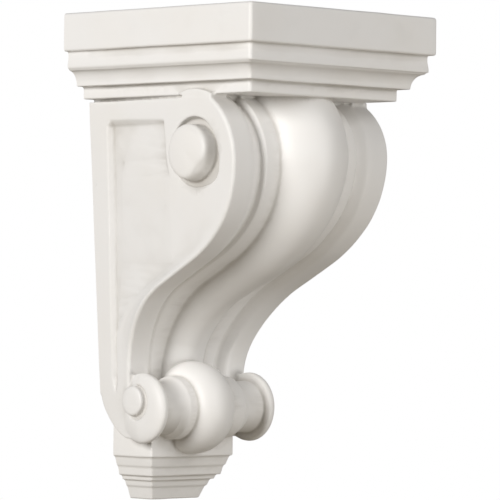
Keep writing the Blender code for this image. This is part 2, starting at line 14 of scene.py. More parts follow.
import bmesh
import bpy
import numpy as np
from mathutils import Matrix, Vector, noise


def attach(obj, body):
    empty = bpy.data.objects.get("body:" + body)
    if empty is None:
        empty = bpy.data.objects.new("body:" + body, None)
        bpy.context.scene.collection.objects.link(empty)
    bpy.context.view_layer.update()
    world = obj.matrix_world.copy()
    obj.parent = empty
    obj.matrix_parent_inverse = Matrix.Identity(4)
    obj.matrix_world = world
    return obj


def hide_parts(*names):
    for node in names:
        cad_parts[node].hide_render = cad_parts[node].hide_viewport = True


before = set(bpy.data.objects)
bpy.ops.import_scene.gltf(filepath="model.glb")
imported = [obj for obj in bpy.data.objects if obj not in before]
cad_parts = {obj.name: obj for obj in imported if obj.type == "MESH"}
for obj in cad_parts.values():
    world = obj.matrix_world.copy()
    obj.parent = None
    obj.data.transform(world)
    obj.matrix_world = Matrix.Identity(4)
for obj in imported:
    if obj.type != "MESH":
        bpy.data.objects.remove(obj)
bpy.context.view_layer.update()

LOG = logging.getLogger("corbel")
MM = 0.001
NOISE_MEAN = 0.5
MIX_SHARE, MIX_UNDER, MIX_OVER, MIX_RESULT = 0, 6, 7, 2

Point = tuple[float, float]
Spot = tuple[float, float, float]
Colour = tuple[float, float, float]
Ring = list[Vector]


class Side(Enum):
    """The two mirrored flanks of the corbel."""

    LEFT = -1.0
    RIGHT = 1.0


class Joining(Enum):
    """How one raw shape meets another."""

    ADD = "UNION"
    CUT = "DIFFERENCE"


@dataclass(frozen=True)
class Envelope:
    """Overall sizes of the casting, and the lean of its side faces."""

    width: float = 165.1
    projection: float = 165.1
    height: float = 304.8
    side_foot: float = 43.6
    side_inset_at_cap: float = 21.93
    side_flare: float = 0.076
    soffit: float = 251.8

    def place(self, x: float, y: float, z: float) -> Vector:
        """Turn millimetres above the foot into metres about the origin at the wall.

        Args:
            x: distance to the right of the middle.
            y: distance behind the wall plane, so a negative number is in front of it.
            z: height above the foot.

        Returns:
            The point in the shared frame.
        """
        return Vector((x * MM, y * MM, (z - self.height / 2) * MM))

    def side(self, y: float, z: float) -> float:
        """Return the half width where the inclined side face passes (y, z)."""
        rise = (self.width / 2 - self.side_inset_at_cap - self.side_foot) / self.soffit
        return self.side_foot + rise * z - self.side_flare * y


ENVELOPE = Envelope()
place = ENVELOPE.place


def between(pair: Point, share: float) -> float:
    """Return the value that lies the given share of the way through a pair."""
    return pair[0] + (pair[1] - pair[0]) * share


def ramp(value: float, span: Point) -> float:
    """Return how far a value lies through a span, from 0 before it to 1 after it."""
    return min(max((value - span[0]) / (span[1] - span[0]), 0.0), 1.0)


def eased(value: float, span: Point) -> float:
    """Return the same share as `ramp`, with a gentle start and end."""
    share = ramp(value, span)
    return share * share * (3.0 - 2.0 * share)


def quarter(step: int, steps: int) -> float:
    """Return the angle at one of the equal steps of a quarter turn, in radians."""
    return math.radians(90.0 * step / steps)


def outward(azimuth: float, elevation: float) -> Vector:
    """Return the direction out from the corbel, turned in degrees to its left and up."""
    turn, rise = math.radians(azimuth), math.radians(elevation)
    return Vector((-math.sin(turn) * math.cos(rise), -math.cos(turn) * math.cos(rise), math.sin(rise)))


def triangle_count(mesh: bpy.types.Mesh) -> int:
    """Return how many triangles a mesh has once its faces are split."""
    return sum(len(face.vertices) - 2 for face in mesh.polygons)


def points_and_normals(mesh: bpy.types.Mesh) -> tuple[np.ndarray, np.ndarray]:
    """Read where each point of a mesh lies and which way it looks.

    Args:
        mesh: the mesh.

    Returns:
        The points and their normals, each with one row of three numbers to a point.
    """
    points = np.empty(len(mesh.vertices) * 3)
    normals = np.empty(len(mesh.vertices) * 3)
    mesh.vertices.foreach_get("co", points)
    mesh.vertex_normals.foreach_get("vector", normals)
    return points.reshape(-1, 3), normals.reshape(-1, 3)


def shape_object(name: str, shape: bmesh.types.BMesh) -> bpy.types.Object:
    """Turn a finished bmesh into an object whose faces look outwards.

    Args:
        name: the object's name.
        shape: the bmesh, which is used up.

    Returns:
        The new object, linked to the scene.
    """
    bmesh.ops.recalc_face_normals(shape, faces=shape.faces)
    mesh = bpy.data.meshes.new(name)
    shape.to_mesh(mesh)
    shape.free()
    item = bpy.data.objects.new(name, mesh)
    bpy.context.scene.collection.objects.link(item)
    return item


def loft(name: str, rings: Sequence[Ring]) -> bpy.types.Object:
    """Bridge equal rings of points and close both ends.

    Args:
        name: the object's name.
        rings: the rings in order, each with the same number of points.

    Returns:
        A closed mesh object.
    """
    shape = bmesh.new()
    rows = [[shape.verts.new(point) for point in ring] for ring in rings]
    count = len(rows[0])
    for lower, upper in zip(rows, rows[1:]):
        for i in range(count):
            j = (i + 1) % count
            shape.faces.new((lower[i], lower[j], upper[j], upper[i]))
    shape.faces.new(rows[0][::-1])
    shape.faces.new(rows[-1])
    return shape_object(name, shape)


def settle(item: bpy.types.Object) -> None:
    """Replace an object's mesh by what its modifiers make of it, and drop the modifiers.

    Args:
        item: the object that is changed.
    """
    graph = bpy.context.evaluated_depsgraph_get()
    settled = bpy.data.meshes.new_from_object(item.evaluated_get(graph))
    rough = item.data
    item.modifiers.clear()
    item.data = settled
    bpy.data.meshes.remove(rough)


def join_shape(target: bpy.types.Object, other: bpy.types.Object, joining: Joining) -> None:
    """Add one raw shape to another or cut it away, and use it up.

    Args:
        target: the object that is changed.
        other: the object that is added or cut away.
        joining: whether it is added or cut away.
    """
    step = target.modifiers.new(other.name, "BOOLEAN")
    step.operation = joining.value
    step.solver = "EXACT"
    step.object = other
    settle(target)
    used = other.data
    bpy.data.objects.remove(other)
    bpy.data.meshes.remove(used)


def turned(
    name: str,
    profile: Sequence[Point],
    centre: Point,
    segments: int,
    lean: Callable[[float], Point] | None = None,
    reach: Callable[[float, float], float] | None = None,
    fall: Callable[[float, float, float], float] | None = None,
) -> bpy.types.Object:
    """Turn a profile about an axis across the width.

    Args:
        name: the object's name.
        profile: (x, radius) pairs from one end to the other.
        centre: the axis as (y, z).
        segments: points round each ring.
        lean: how far a ring's centre moves in (y, z) at an x.
        reach: what is added to the radius at an (x, angle in degrees).
        fall: what is added to x at a point (x, y, z).

    Returns:
        A closed mesh object.
    """
    rings = []
    for x, radius in profile:
        back, lift = lean(x) if lean else (0.0, 0.0)
        ring = []
        for k in range(segments):
            degrees = 360.0 * k / segments
            span = radius + (reach(x, degrees) if reach else 0.0)
            y = centre[0] + back + span * math.cos(math.radians(degrees))
            z = centre[1] + lift + span * math.sin(math.radians(degrees))
            shift = fall(x, y, z) if fall else 0.0
            ring.append(place(x + shift, y, z))
        rings.append(ring)
    return loft(name, rings)


def side_prism(
    name: str, side: Side, outlines: Sequence[tuple[float, Sequence[Point]]]
) -> bpy.types.Object:
    """Build a piece that follows the inclined side face.

    Args:
        name: the object's name.
        side: the flank it lies on.
        outlines: (distance out from the side face, outline of (y, z) pairs), in order.

    Returns:
        A closed mesh object.
    """
    rings = []
    for lift, outline in outlines:
        rings.append([place(side.value * (ENVELOPE.side(y, z) + lift), y, z) for y, z in outline])
    return loft(name, rings)


@dataclass
class Returned:
    """A moulding that returns on three sides and runs back into the wall by its surplus."""

    half_width: float
    depth: float
    corner_radius: float
    corner_steps: int
    surplus: float

    def outline(self, inset: float, z: float) -> Ring:
        """Lay out the moulding at one height.

        Args:
            inset: how far it is set in from its widest outline.
            z: the height above the foot.

        Returns:
            The outline's points, from the wall on the right round to the wall on the left.
        """
        half, deep = self.half_width - inset, self.depth - inset
        points = [place(half, self.surplus, z)]
        for sign, start in ((1.0, 0.0), (-1.0, 90.0)):
            for k in range(self.corner_steps + 1):
                angle = math.radians(start + 90.0 * k / self.corner_steps)
                x = sign * (half - self.corner_radius) + self.corner_radius * math.cos(angle)
                y = -(deep - self.corner_radius) - self.corner_radius * math.sin(angle)
                points.append(place(x, y, z))
        points.append(place(-half, self.surplus, z))
        return points

    def build(self, name: str, profile: Sequence[Point]) -> bpy.types.Object:
        """Run a profile of (inset, height) pairs round the moulding."""
        return loft(name, [self.outline(inset, z) for inset, z in profile])


@dataclass
class Cap:
    """The moulded cap: fascia, band, cove and necking, from the top down.

    `band_taper` gives the shares of the band's height between which its face sets back, and
    `arris_lean` how far the fascia's lower arris is rounded in from the face, as a share.
    """

    fascia: float = 23.9
    band: float = 10.7
    cove: float = 10.7
    band_inset: float = 3.8
    band_flare: float = 0.6
    band_taper: Point = (0.2, 0.6)
    cove_lip: Point = (4.6, 1.2)
    cove_inset: float = 11.2
    cove_steps: int = 12
    necking_inset: float = 17.2
    arris: float = 1.6
    arris_lean: float = 0.6
    arris_steps: int = 3
    corner_radius: float = 1.8
    corner_steps: int = 6
    surplus: float = 6.0

    def profile(self) -> list[Point]:
        """Set out the mouldings.

        Returns:
            (inset, height) pairs from the soffit up.
        """
        fascia_foot = ENVELOPE.height - self.fascia
        band_foot = fascia_foot - self.band
        cove_foot = band_foot - self.cove
        points = [
            (self.necking_inset, ENVELOPE.soffit),
            (self.necking_inset, cove_foot),
            (self.cove_inset, cove_foot),
        ]
        run, rise = self.cove_inset - self.cove_lip[0], self.cove - self.cove_lip[1]
        for k in range(1, self.cove_steps + 1):
            angle = quarter(k, self.cove_steps)
            inset = self.cove_inset - run * (1.0 - math.cos(angle))
            points.append((inset, cove_foot + rise * math.sin(angle)))
        face = self.band_inset - self.band_flare
        points += [
            (self.cove_lip[0], band_foot),
            (face, band_foot),
            (face, band_foot + self.band * self.band_taper[0]),
            (self.band_inset, band_foot + self.band * self.band_taper[1]),
            (self.band_inset, fascia_foot),
        ]
        for k in range(self.arris_steps + 1):
            angle = quarter(k, self.arris_steps)
            inset = self.arris * (1.0 - math.sin(angle)) * self.arris_lean
            points.append((inset, fascia_foot + self.arris * (1.0 - math.cos(angle))))
        for k in range(self.arris_steps + 1):
            angle = quarter(k, self.arris_steps)
            height = ENVELOPE.height - self.arris * (1.0 - math.sin(angle))
            points.append((self.arris * (1.0 - math.cos(angle)), height))
        return points

    def build(self) -> bpy.types.Object:
        """Build the cap.

        Returns:
            A closed mesh object.
        """
        half, deep = ENVELOPE.width / 2, ENVELOPE.projection
        run = Returned(half, deep, self.corner_radius, self.corner_steps, self.surplus)
        return run.build("cap", self.profile())


@dataclass
class PendantBlock:
    """The square block below the scroll, with its stepped foot.

    `face` gives the heights between which the block is plain. Each of the `tiers` below it is
    (height of its foot, inset at its foot, inset at its head), from the foot up.
    """

    half_width: float = 36.2
    depth: float = 34.9
    corner_radius: float = 0.8
    corner_steps: int = 2
    surplus: float = 7.0
    face: Point = (27.3, 60.0)
    tiers: tuple[tuple[float, float, float], ...] = (
        (0.0, 15.3, 12.4),
        (8.0, 11.6, 10.2),
        (12.25, 8.3, 7.6),
        (15.1, 5.4, 4.1),
        (21.3, 3.3, 1.4),
    )

    def profile(self) -> list[Point]:
        """Set out the steps.

        Returns:
            (inset, height) pairs from the foot up.
        """
        points = []
        heads = [tier[0] for tier in self.tiers[1:]] + [self.face[0]]
        for (foot, foot_inset, head_inset), head in zip(self.tiers, heads):
            points += [(foot_inset, foot), (head_inset, head)]
        return points + [(0.0, self.face[0]), (0.0, self.face[1])]

    def build(self) -> bpy.types.Object:
        """Build the block.

        Returns:
            A closed mesh object.
        """
        half, deep = self.half_width, self.depth
        run = Returned(half, deep, self.corner_radius, self.corner_steps, self.surplus)
        return run.build("pendant_block", self.profile())


@dataclass
class ScrollLine:
    """The scroll's front seen from the side: tangent arcs from the soffit down to the roll.

    The crest runs from the soffit to the foremost point. Below it come the belly (radius, heading
    at its end in degrees), the sweep, a straight, the hollow and the heel (radius, heading at its
    start). `arc_steps` gives the steps of these five, before `density` multiplies them.
    """

    setback: float = 27.4
    drop: float = 38.8
    crest_radius: float = 43.2
    crest_turn: float = 64.0
    crest_steps: int = 8
    belly: Point = (64.1, 40.5)
    sweep_radius: float = 91.7
    hollow_radius: float = 78.6
    heel: Point = (50.5, 26.5)
    heel_reach: float = 29.4
    heel_height: float = 78.3
    foot_height: float = 39.315
    embed_height: float = 49.5
    blend_foot: float = 98.0
    heading_limit: float = 86.0
    halvings: int = 60
    arc_steps: tuple[int, ...] = (7, 4, 2, 6, 4)
    density: int = 3

    @property
    def front_y(self) -> float:
        """Return the foremost point's place."""
        return self.setback - ENVELOPE.projection

    @property
    def front_z(self) -> float:
        """Return the foremost point's height."""
        return ENVELOPE.soffit - self.drop

    def straight(self, heading: float) -> Point:
        """Try one heading for the straight between the sweep and the hollow.

        Args:
            heading: the angle from straight down towards the wall, in radians.

        Returns:
            How long the straight is, and how far it misses the lower arcs.
        """
        belly, heel = math.radians(self.belly[1]), math.radians(self.heel[1])
        run = self.belly[0] * (1.0 - math.cos(belly)) + self.heel[0] * (1.0 - math.cos(heel))
        run += self.sweep_radius * (math.cos(belly) - math.cos(heading))
        run += self.hollow_radius * (math.cos(heel) - math.cos(heading))
        fall = self.belly[0] * math.sin(belly) + self.heel[0] * math.sin(heel)
        fall += self.sweep_radius * (math.sin(heading) - math.sin(belly))
        fall += self.hollow_radius * (math.sin(heading) - math.sin(heel))
        rest_run = -self.heel_reach - self.front_y - run
        rest_fall = self.front_z - self.heel_height - fall
        length = rest_run * math.sin(heading) + rest_fall * math.cos(heading)
        return length, rest_run * math.cos(heading) - rest_fall * math.sin(heading)

    def steepest(self) -> float:
        """Find the heading at which the straight joins the upper arcs to the lower ones.

        Returns:
            The heading in radians.
        """
        low, high = math.radians(self.belly[1]), math.radians(self.heading_limit)
        for _ in range(self.halvings):
            middle = (low + high) / 2
            low, high = (middle, high) if self.straight(middle)[1] > 0.0 else (low, middle)
        return (low + high) / 2

    def stations(self) -> list[tuple[float, float, float, float, float]]:
        """Set out the stations down the front.

        Returns:
            For each one its y, its z, the outward direction in y and z, and how far the section
            has changed from the belly's to the one above the roll.
        """
        rows = []
        steps = self.crest_steps * self.density
        for k in range(steps):
            angle = math.radians(self.crest_turn * (1.0 - k / steps))
            y = self.front_y + self.crest_radius * (1.0 - math.cos(angle))
            z = self.front_z + self.crest_radius * math.sin(angle)
            rows.append((y, z, -math.cos(angle), math.sin(angle)))
        y, z, heading, steepest = self.front_y, self.front_z, 0.0, self.steepest()
        rows.append((y, z, -1.0, 0.0))
        arcs = (
            (self.belly[0], math.radians(self.belly[1])),
            (self.sweep_radius, steepest),
            (0.0, steepest),
            (self.hollow_radius, math.radians(self.heel[1])),
            (self.heel[0], 0.0),
        )
        for (radius, goal), coarse in zip(arcs, self.arc_steps):
            start, base_y, base_z = heading, y, z
            steps = coarse * self.density
            for k in range(1, steps + 1):
                if radius == 0.0:
                    run = self.straight(steepest)[0] * k / steps
                    y, z = base_y + run * math.sin(heading), base_z - run * math.cos(heading)
                else:
                    heading = start + (goal - start) * k / steps
                    turn = math.copysign(radius, goal - start)
                    y = base_y + turn * (math.cos(start) - math.cos(heading))
                    z = base_z - turn * (math.sin(heading) - math.sin(start))
                rows.append((y, z, -math.cos(heading), -math.sin(heading)))
        rows.append((y, self.embed_height, -1.0, 0.0))
        rows.append((y, self.foot_height, -1.0, 0.0))
        span = (0.0, self.front_z - self.blend_foot)
        return [(*row, ramp(self.front_z - row[1], span)) for row in rows]

    def reach(self, z: float) -> float:
        """Find how far the front stands from the wall at a height.

        Args:
            z: the height above the foot.

        Returns:
            The distance, or that of the foremost point above and below the scroll.
        """
        rows = self.stations()
        for upper, lower in zip(rows, rows[1:]):
            if lower[1] <= z <= upper[1]:
                share = (upper[1] - z) / (upper[1] - lower[1])
                return -between((upper[0], lower[0]), share)
        return -self.front_y


@dataclass
class Flare:
    """The widening of the front at the hollow, which dies out up, down and towards the wall.

    `run` gives how far back from the arris it reaches, at the two `run_heights`, and below
    `least` it is left out.
    """

    width: float = 5.0
    height: float = 128.0
    spread_up: float = 24.0
    spread_down: float = 25.0
    run: Point = (3.0, 18.0)
    run_heights: Point = (78.3, 128.0)
    least: float = 0.02
    steps: int = 8

    def at(self, z: float) -> float:
        """Find how far the front arris stands out of the side face.

        Args:
            z: the height above the foot.

        Returns:
            The distance.
        """
        above = z - self.height
        spread = self.spread_up if above > 0.0 else self.spread_down
        flare = self.width * math.exp(-((above / spread) ** 2))
        return flare if flare > self.least else 0.0

    def strip(self, y: float, z: float) -> list[Spot]:
        """Set out the strip that leads from the side face out to the arris.

        Args:
            y: the arris's place.
            z: the arris's height.

        Returns:
            The strip's points, the arris last.
        """
        run = between(self.run, ramp(z, self.run_heights))
        points = []
        for k in range(self.steps, -1, -1):
            back = k / self.steps
            behind = y + run * back
            points.append((ENVELOPE.side(behind, z) + self.at(z) * (1.0 - back) ** 2, behind, z))
        return points


@dataclass
class RibbedFront:
    """The section across the scroll's front: flat ribbons, valleys, fillets and a round rib.

    Each pair gives the size at the belly and just above the roll.
    """

    arris: float = 2.0
    arris_steps: int = 3
    border: Point = (16.0, 15.2)
    border_lip: float = 1.0
    valley_inset: Point = (27.0, 23.6)
    valley_depth: Point = (4.2, 5.6)
    valley_steps: int = 6
    flank: Point = (2.2, 1.4)
    fillet_depth: Point = (0.4, 5.3)
    rib_half: Point = (27.8, 17.6)
    rib_rise: Point = (19.8, 8.6)
    rib_steps: int = 20

    def section(self, half_width: float, blend: float) -> list[Point]:
        """Set out half the section, from the arris to the centre line.

        Args:
            half_width: the half width of the scroll at this station.
            blend: 0 at the belly and 1 above the roll.

        Returns:
            (x, proud) pairs from the arris inwards.
        """
        valley = half_width - between(self.valley_inset, blend)
        border = half_width - between(self.border, blend)
        depth = between(self.valley_depth, blend)
        foot = between(self.fillet_depth, blend)
        rib = between(self.rib_half, blend)
        rise = between(self.rib_rise, blend)
        points = []
        for k in range(1, self.arris_steps + 1):
            angle = quarter(k, self.arris_steps)
            x = half_width - self.arris * (1.0 - math.cos(angle))
            points.append((x, -self.arris * (1.0 - math.sin(angle))))
        points.append((border + self.border_lip, 0.0))
        for k in range(1, self.valley_steps + 1):
            share = k / self.valley_steps
            points.append((border + (valley - border) * share, -depth * eased(share, (0.0, 1.0))))
        points.append((valley - between(self.flank, blend), -foot))
        points.append((rib, -foot))
        radius = (rib * rib + rise * rise) / (2.0 * rise)
        limit = math.asin(min(rib / radius, 1.0))
        for k in range(1, self.rib_steps):
            angle = limit * (1.0 - k / self.rib_steps)
            points.append((radius * math.sin(angle), rise - foot - radius * (1.0 - math.cos(angle))))
        points.append((0.0, rise - foot))
        return points


@dataclass
class Volute:
    """The volute near the top of each side face: its ring, its lap, and the eye in its recess.

    Places are (y, z) pairs away from the volute's own centre. `recess_corner` and `eye_cut` are
    (size, direction in degrees), and the spreads beside them say over how many degrees they die
    out. `eye_dome` gives the eye's face as (share of its radius, depth below its top).
    """

    y: float = -102.3
    z: float = 216.0
    back_radius: float = 28.5
    guard_lift: float = 6.0
    guard_draft: float = 0.6
    guard_steps: int = 24
    guard_rise: float = 14.0
    guard_front: float = 1.5
    guard_step: float = 1.2
    lap_radius: float = 39.2
    lap_reach: float = 15.8
    lap_steps: int = 16
    lap_bed: float = 6.0
    lap_depths: Point = (-14.0, -0.2)
    quirk_size: Point = (4.6, 1.9)
    quirk_front: float = 91.0
    quirk_over: Point = (8.0, 6.0)
    recess_radius: float = 21.5
    recess_depth: float = 3.8
    recess_at: Point = (1.2, 0.5)
    recess_corner: Point = (3.6, 218.0)
    recess_spread: float = 24.0
    recess_draft: Point = (0.4, 2.0)
    recess_over: float = 8.0
    eye_radius: float = 17.7
    eye_face: float = 16.8
    eye_proud: float = 6.6
    eye_at: Point = (1.0, -0.6)
    eye_lean: Point = (1.9, 1.4)
    eye_cut: Point = (4.2, 228.0)
    eye_spread: float = 34.0
    eye_root: Point = (13.0, 1.4)
    eye_edge: Point = (3.6, 2.4)
    eye_edge_share: float = 0.6
    eye_dome: tuple[Point, ...] = (
        (0.95, 1.7),
        (0.86, 1.15),
        (0.74, 0.8),
        (0.6, 0.5),
        (0.44, 0.25),
        (0.28, 0.08),
        (0.12, 0.0),
    )
    segments: int = 96

    def guard(self, side: Side, panel_top: float) -> bpy.types.Object:
        """Build the shape that keeps the panel out of the volute's outer ring.

        Args:
            side: the flank it lies on.
            panel_top: the height of the panel's upper edge.

        Returns:
            A closed mesh object.
        """
        outlines = []
        for lift in (-self.guard_lift, self.guard_lift):
            radius = self.back_radius - lift * self.guard_draft
            outline = []
            for k in range(self.guard_steps + 1):
                angle = quarter(k - self.guard_steps, self.guard_steps)
                outline.append((self.y + radius * math.cos(angle), self.z + radius * math.sin(angle)))
            top, front = panel_top + self.guard_rise, self.y - self.back_radius * self.guard_front
            outline += [(self.y + radius + self.guard_step, top), (front, top), (front, self.z - radius)]
            outlines.append((lift, outline))
        return side_prism("volute_guard", side, outlines)

    def lap(self, side: Side) -> bpy.types.Object:
        """Build the top of the volute, which laps over the cap's necking.

        Args:
            side: the flank it lies on.

        Returns:
            A closed mesh object.
        """
        back, front = self.y + self.lap_reach, self.y - self.lap_reach
        outline = []
        for k in range(self.lap_steps + 1):
            y = between((back, front), k / self.lap_steps)
            outline.append((y, self.z + math.sqrt(self.lap_radius**2 - (y - self.y) ** 2)))
        bed = ENVELOPE.soffit - self.lap_bed
        outline += [(front, bed), (back, bed)]
        return side_prism("volute_lap", side, [(depth, outline) for depth in self.lap_depths])

    def quirk(self, side: Side) -> bpy.types.Object:
        """Build the cutter for the narrow quirk under the necking, from the wall to the volute.

        Args:
            side: the flank it lies on.

        Returns:
            A closed mesh object.
        """
        depth, height = self.quirk_size
        behind, beside = self.quirk_over
        front, top = -self.quirk_front, ENVELOPE.soffit
        outline = [(behind, top), (front, top), (front, top - height), (behind, top - height)]
        return side_prism("quirk", side, [(-depth, outline), (beside, outline)])

    def recess(self, side: Side) -> bpy.types.Object:
        """Build the cutter for the recess about the eye.

        Args:
            side: the flank it lies on.

        Returns:
            A closed mesh object.
        """
        y, z = self.y + self.recess_at[0], self.z + self.recess_at[1]
        face = ENVELOPE.side(y, z)
        swell, toward = self.recess_corner
        draft, splay = self.recess_draft

        def squared(_: float, degrees: float) -> float:
            """Return how far the corner of the recess swells out at an angle."""
            off = (degrees - toward) / self.recess_spread
            return swell * math.exp(-off * off)

        profile = [
            (side.value * (face - self.recess_depth), self.recess_radius - draft),
            (side.value * (face - draft), self.recess_radius),
            (side.value * (face + self.recess_over), self.recess_radius + splay),
        ]
        return turned("volute_recess", profile, (y, z), self.segments, reach=squared)

    def eye(self, side: Side) -> bpy.types.Object:
        """Build the domed eye, which leans up and back and is pared away below its front.

        Args:
            side: the flank it lies on.

        Returns:
            A closed mesh object.
        """
        face = ENVELOPE.side(self.y, self.z)
        top = face + self.eye_proud
        cut, toward = self.eye_cut
        shoulder, brim = self.eye_edge

        def risen(x: float) -> float:
            """Return how far up the eye's wall an x lies."""
            return ramp(abs(x), (face - self.recess_depth, top - brim))

        def leaning(x: float) -> Point:
            """Return how far the eye leans at an x."""
            return self.eye_lean[0] * risen(x), self.eye_lean[1] * risen(x)

        def pared(x: float, degrees: float) -> float:
            """Return what is pared off the radius at an x and an angle."""
            off = (degrees - toward) / self.eye_spread
            return -cut * risen(x) * math.exp(-off * off)

        rows = [(face - root, self.eye_radius) for root in self.eye_root]
        rows.append((top - shoulder, between((self.eye_radius, self.eye_face), self.eye_edge_share)))
        rows.append((top - brim, self.eye_face))
        rows += [(top - sunk, self.eye_face * share) for share, sunk in self.eye_dome]
        profile = [(side.value * x, radius) for x, radius in rows]
        centre = (self.y + self.eye_at[0], self.z + self.eye_at[1])
        return turned("volute_eye", profile, centre, self.segments, lean=leaning, reach=pared)


@dataclass
class Panel:
    """The sunk panel on each side face, which fades out towards the front ribbon.

    `edge` and `depth` give the back edge's distance from the wall and the sinking, at the foot
    and at the top. `over` says how far past the edge the cutter's bevel goes on, as a share.
    How far the cutter is lifted out counts in depths: `foot_rise` gives it as (height above the
    foot, lift) and `top_rise` gives it at the top and one bevel above it.
    """

    top: float = 238.4
    foot: float = 66.0
    edge: Point = (12.0, 17.0)
    depth: Point = (2.6, 3.3)
    bevel: float = 3.6
    over: float = 1.5
    fade_reach: Point = (76.0, 170.0)
    fade_heights: Point = (198.0, 238.0)
    level_share: float = 0.12
    level_depth: float = 0.97
    ribbon: float = 18.0
    clear: float = 2.0
    thickness: float = 6.0
    foot_rise: tuple[Point, ...] = ((0.0, 1.15), (3.0, 0.7), (6.0, 0.35))
    foot_run: float = 12.0
    top_rise: Point = (1.0, 2.0)
    crowding: float = 1.3
    steps: int = 36

    def section(self, z: float, lift: float, line: ScrollLine) -> list[Point]:
        """Set out the cutter's section at a height.

        Args:
            z: the height above the foot.
            lift: how far the cutter is lifted out of the side, in depths.
            line: the scroll's front, which the panel stays behind.

        Returns:
            (forward, x) pairs.
        """
        share = (z - self.foot) / (self.top - self.foot)
        edge, depth = between(self.edge, share), between(self.depth, share)
        fade = between(self.fade_reach, eased(z, self.fade_heights))
        if z < self.fade_heights[0]:
            fade = min(fade, line.reach(z) - self.ribbon)
        fade = max(fade, edge + self.bevel * self.over)
        level = between((edge + self.bevel, fade), self.level_share)
        rise = depth * self.level_depth * self.clear / (fade - level)
        rows = (
            (edge - self.bevel * self.over, -depth * self.over),
            (edge + self.bevel, depth),
            (level, depth * self.level_depth),
            (fade + self.clear, -rise),
            (fade + self.clear, -rise - self.thickness),
            (edge - self.bevel * self.over, -depth * self.over - self.thickness),
        )
        return [(y, ENVELOPE.side(-y, z) - sunk + lift * depth) for y, sunk in rows]

    def build(self, side: Side, line: ScrollLine, volute: Volute) -> bpy.types.Object:
        """Build the cutter for one side, less the volute's outer ring.

        Args:
            side: the flank it lies on.
            line: the scroll's front, which the panel stays behind.
            volute: the volute, which the panel stays out of.

        Returns:
            A closed mesh object.
        """
        levels = [(self.foot + above, lift) for above, lift in self.foot_rise]
        low, high = self.foot + self.foot_run, self.top - self.bevel
        for k in range(self.steps):
            levels.append((low + (high - low) * (k / (self.steps - 1)) ** self.crowding, 0.0))
        levels += [(self.top, self.top_rise[0]), (self.top + self.bevel, self.top_rise[1])]
        rings = []
        for z, lift in levels:
            section = self.section(z, lift, line)
            rings.append([place(side.value * x, -forward, z) for forward, x in section])
        cutter = loft("panel", rings)
        join_shape(cutter, volute.guard(side, self.top), Joining.CUT)
        return cutter


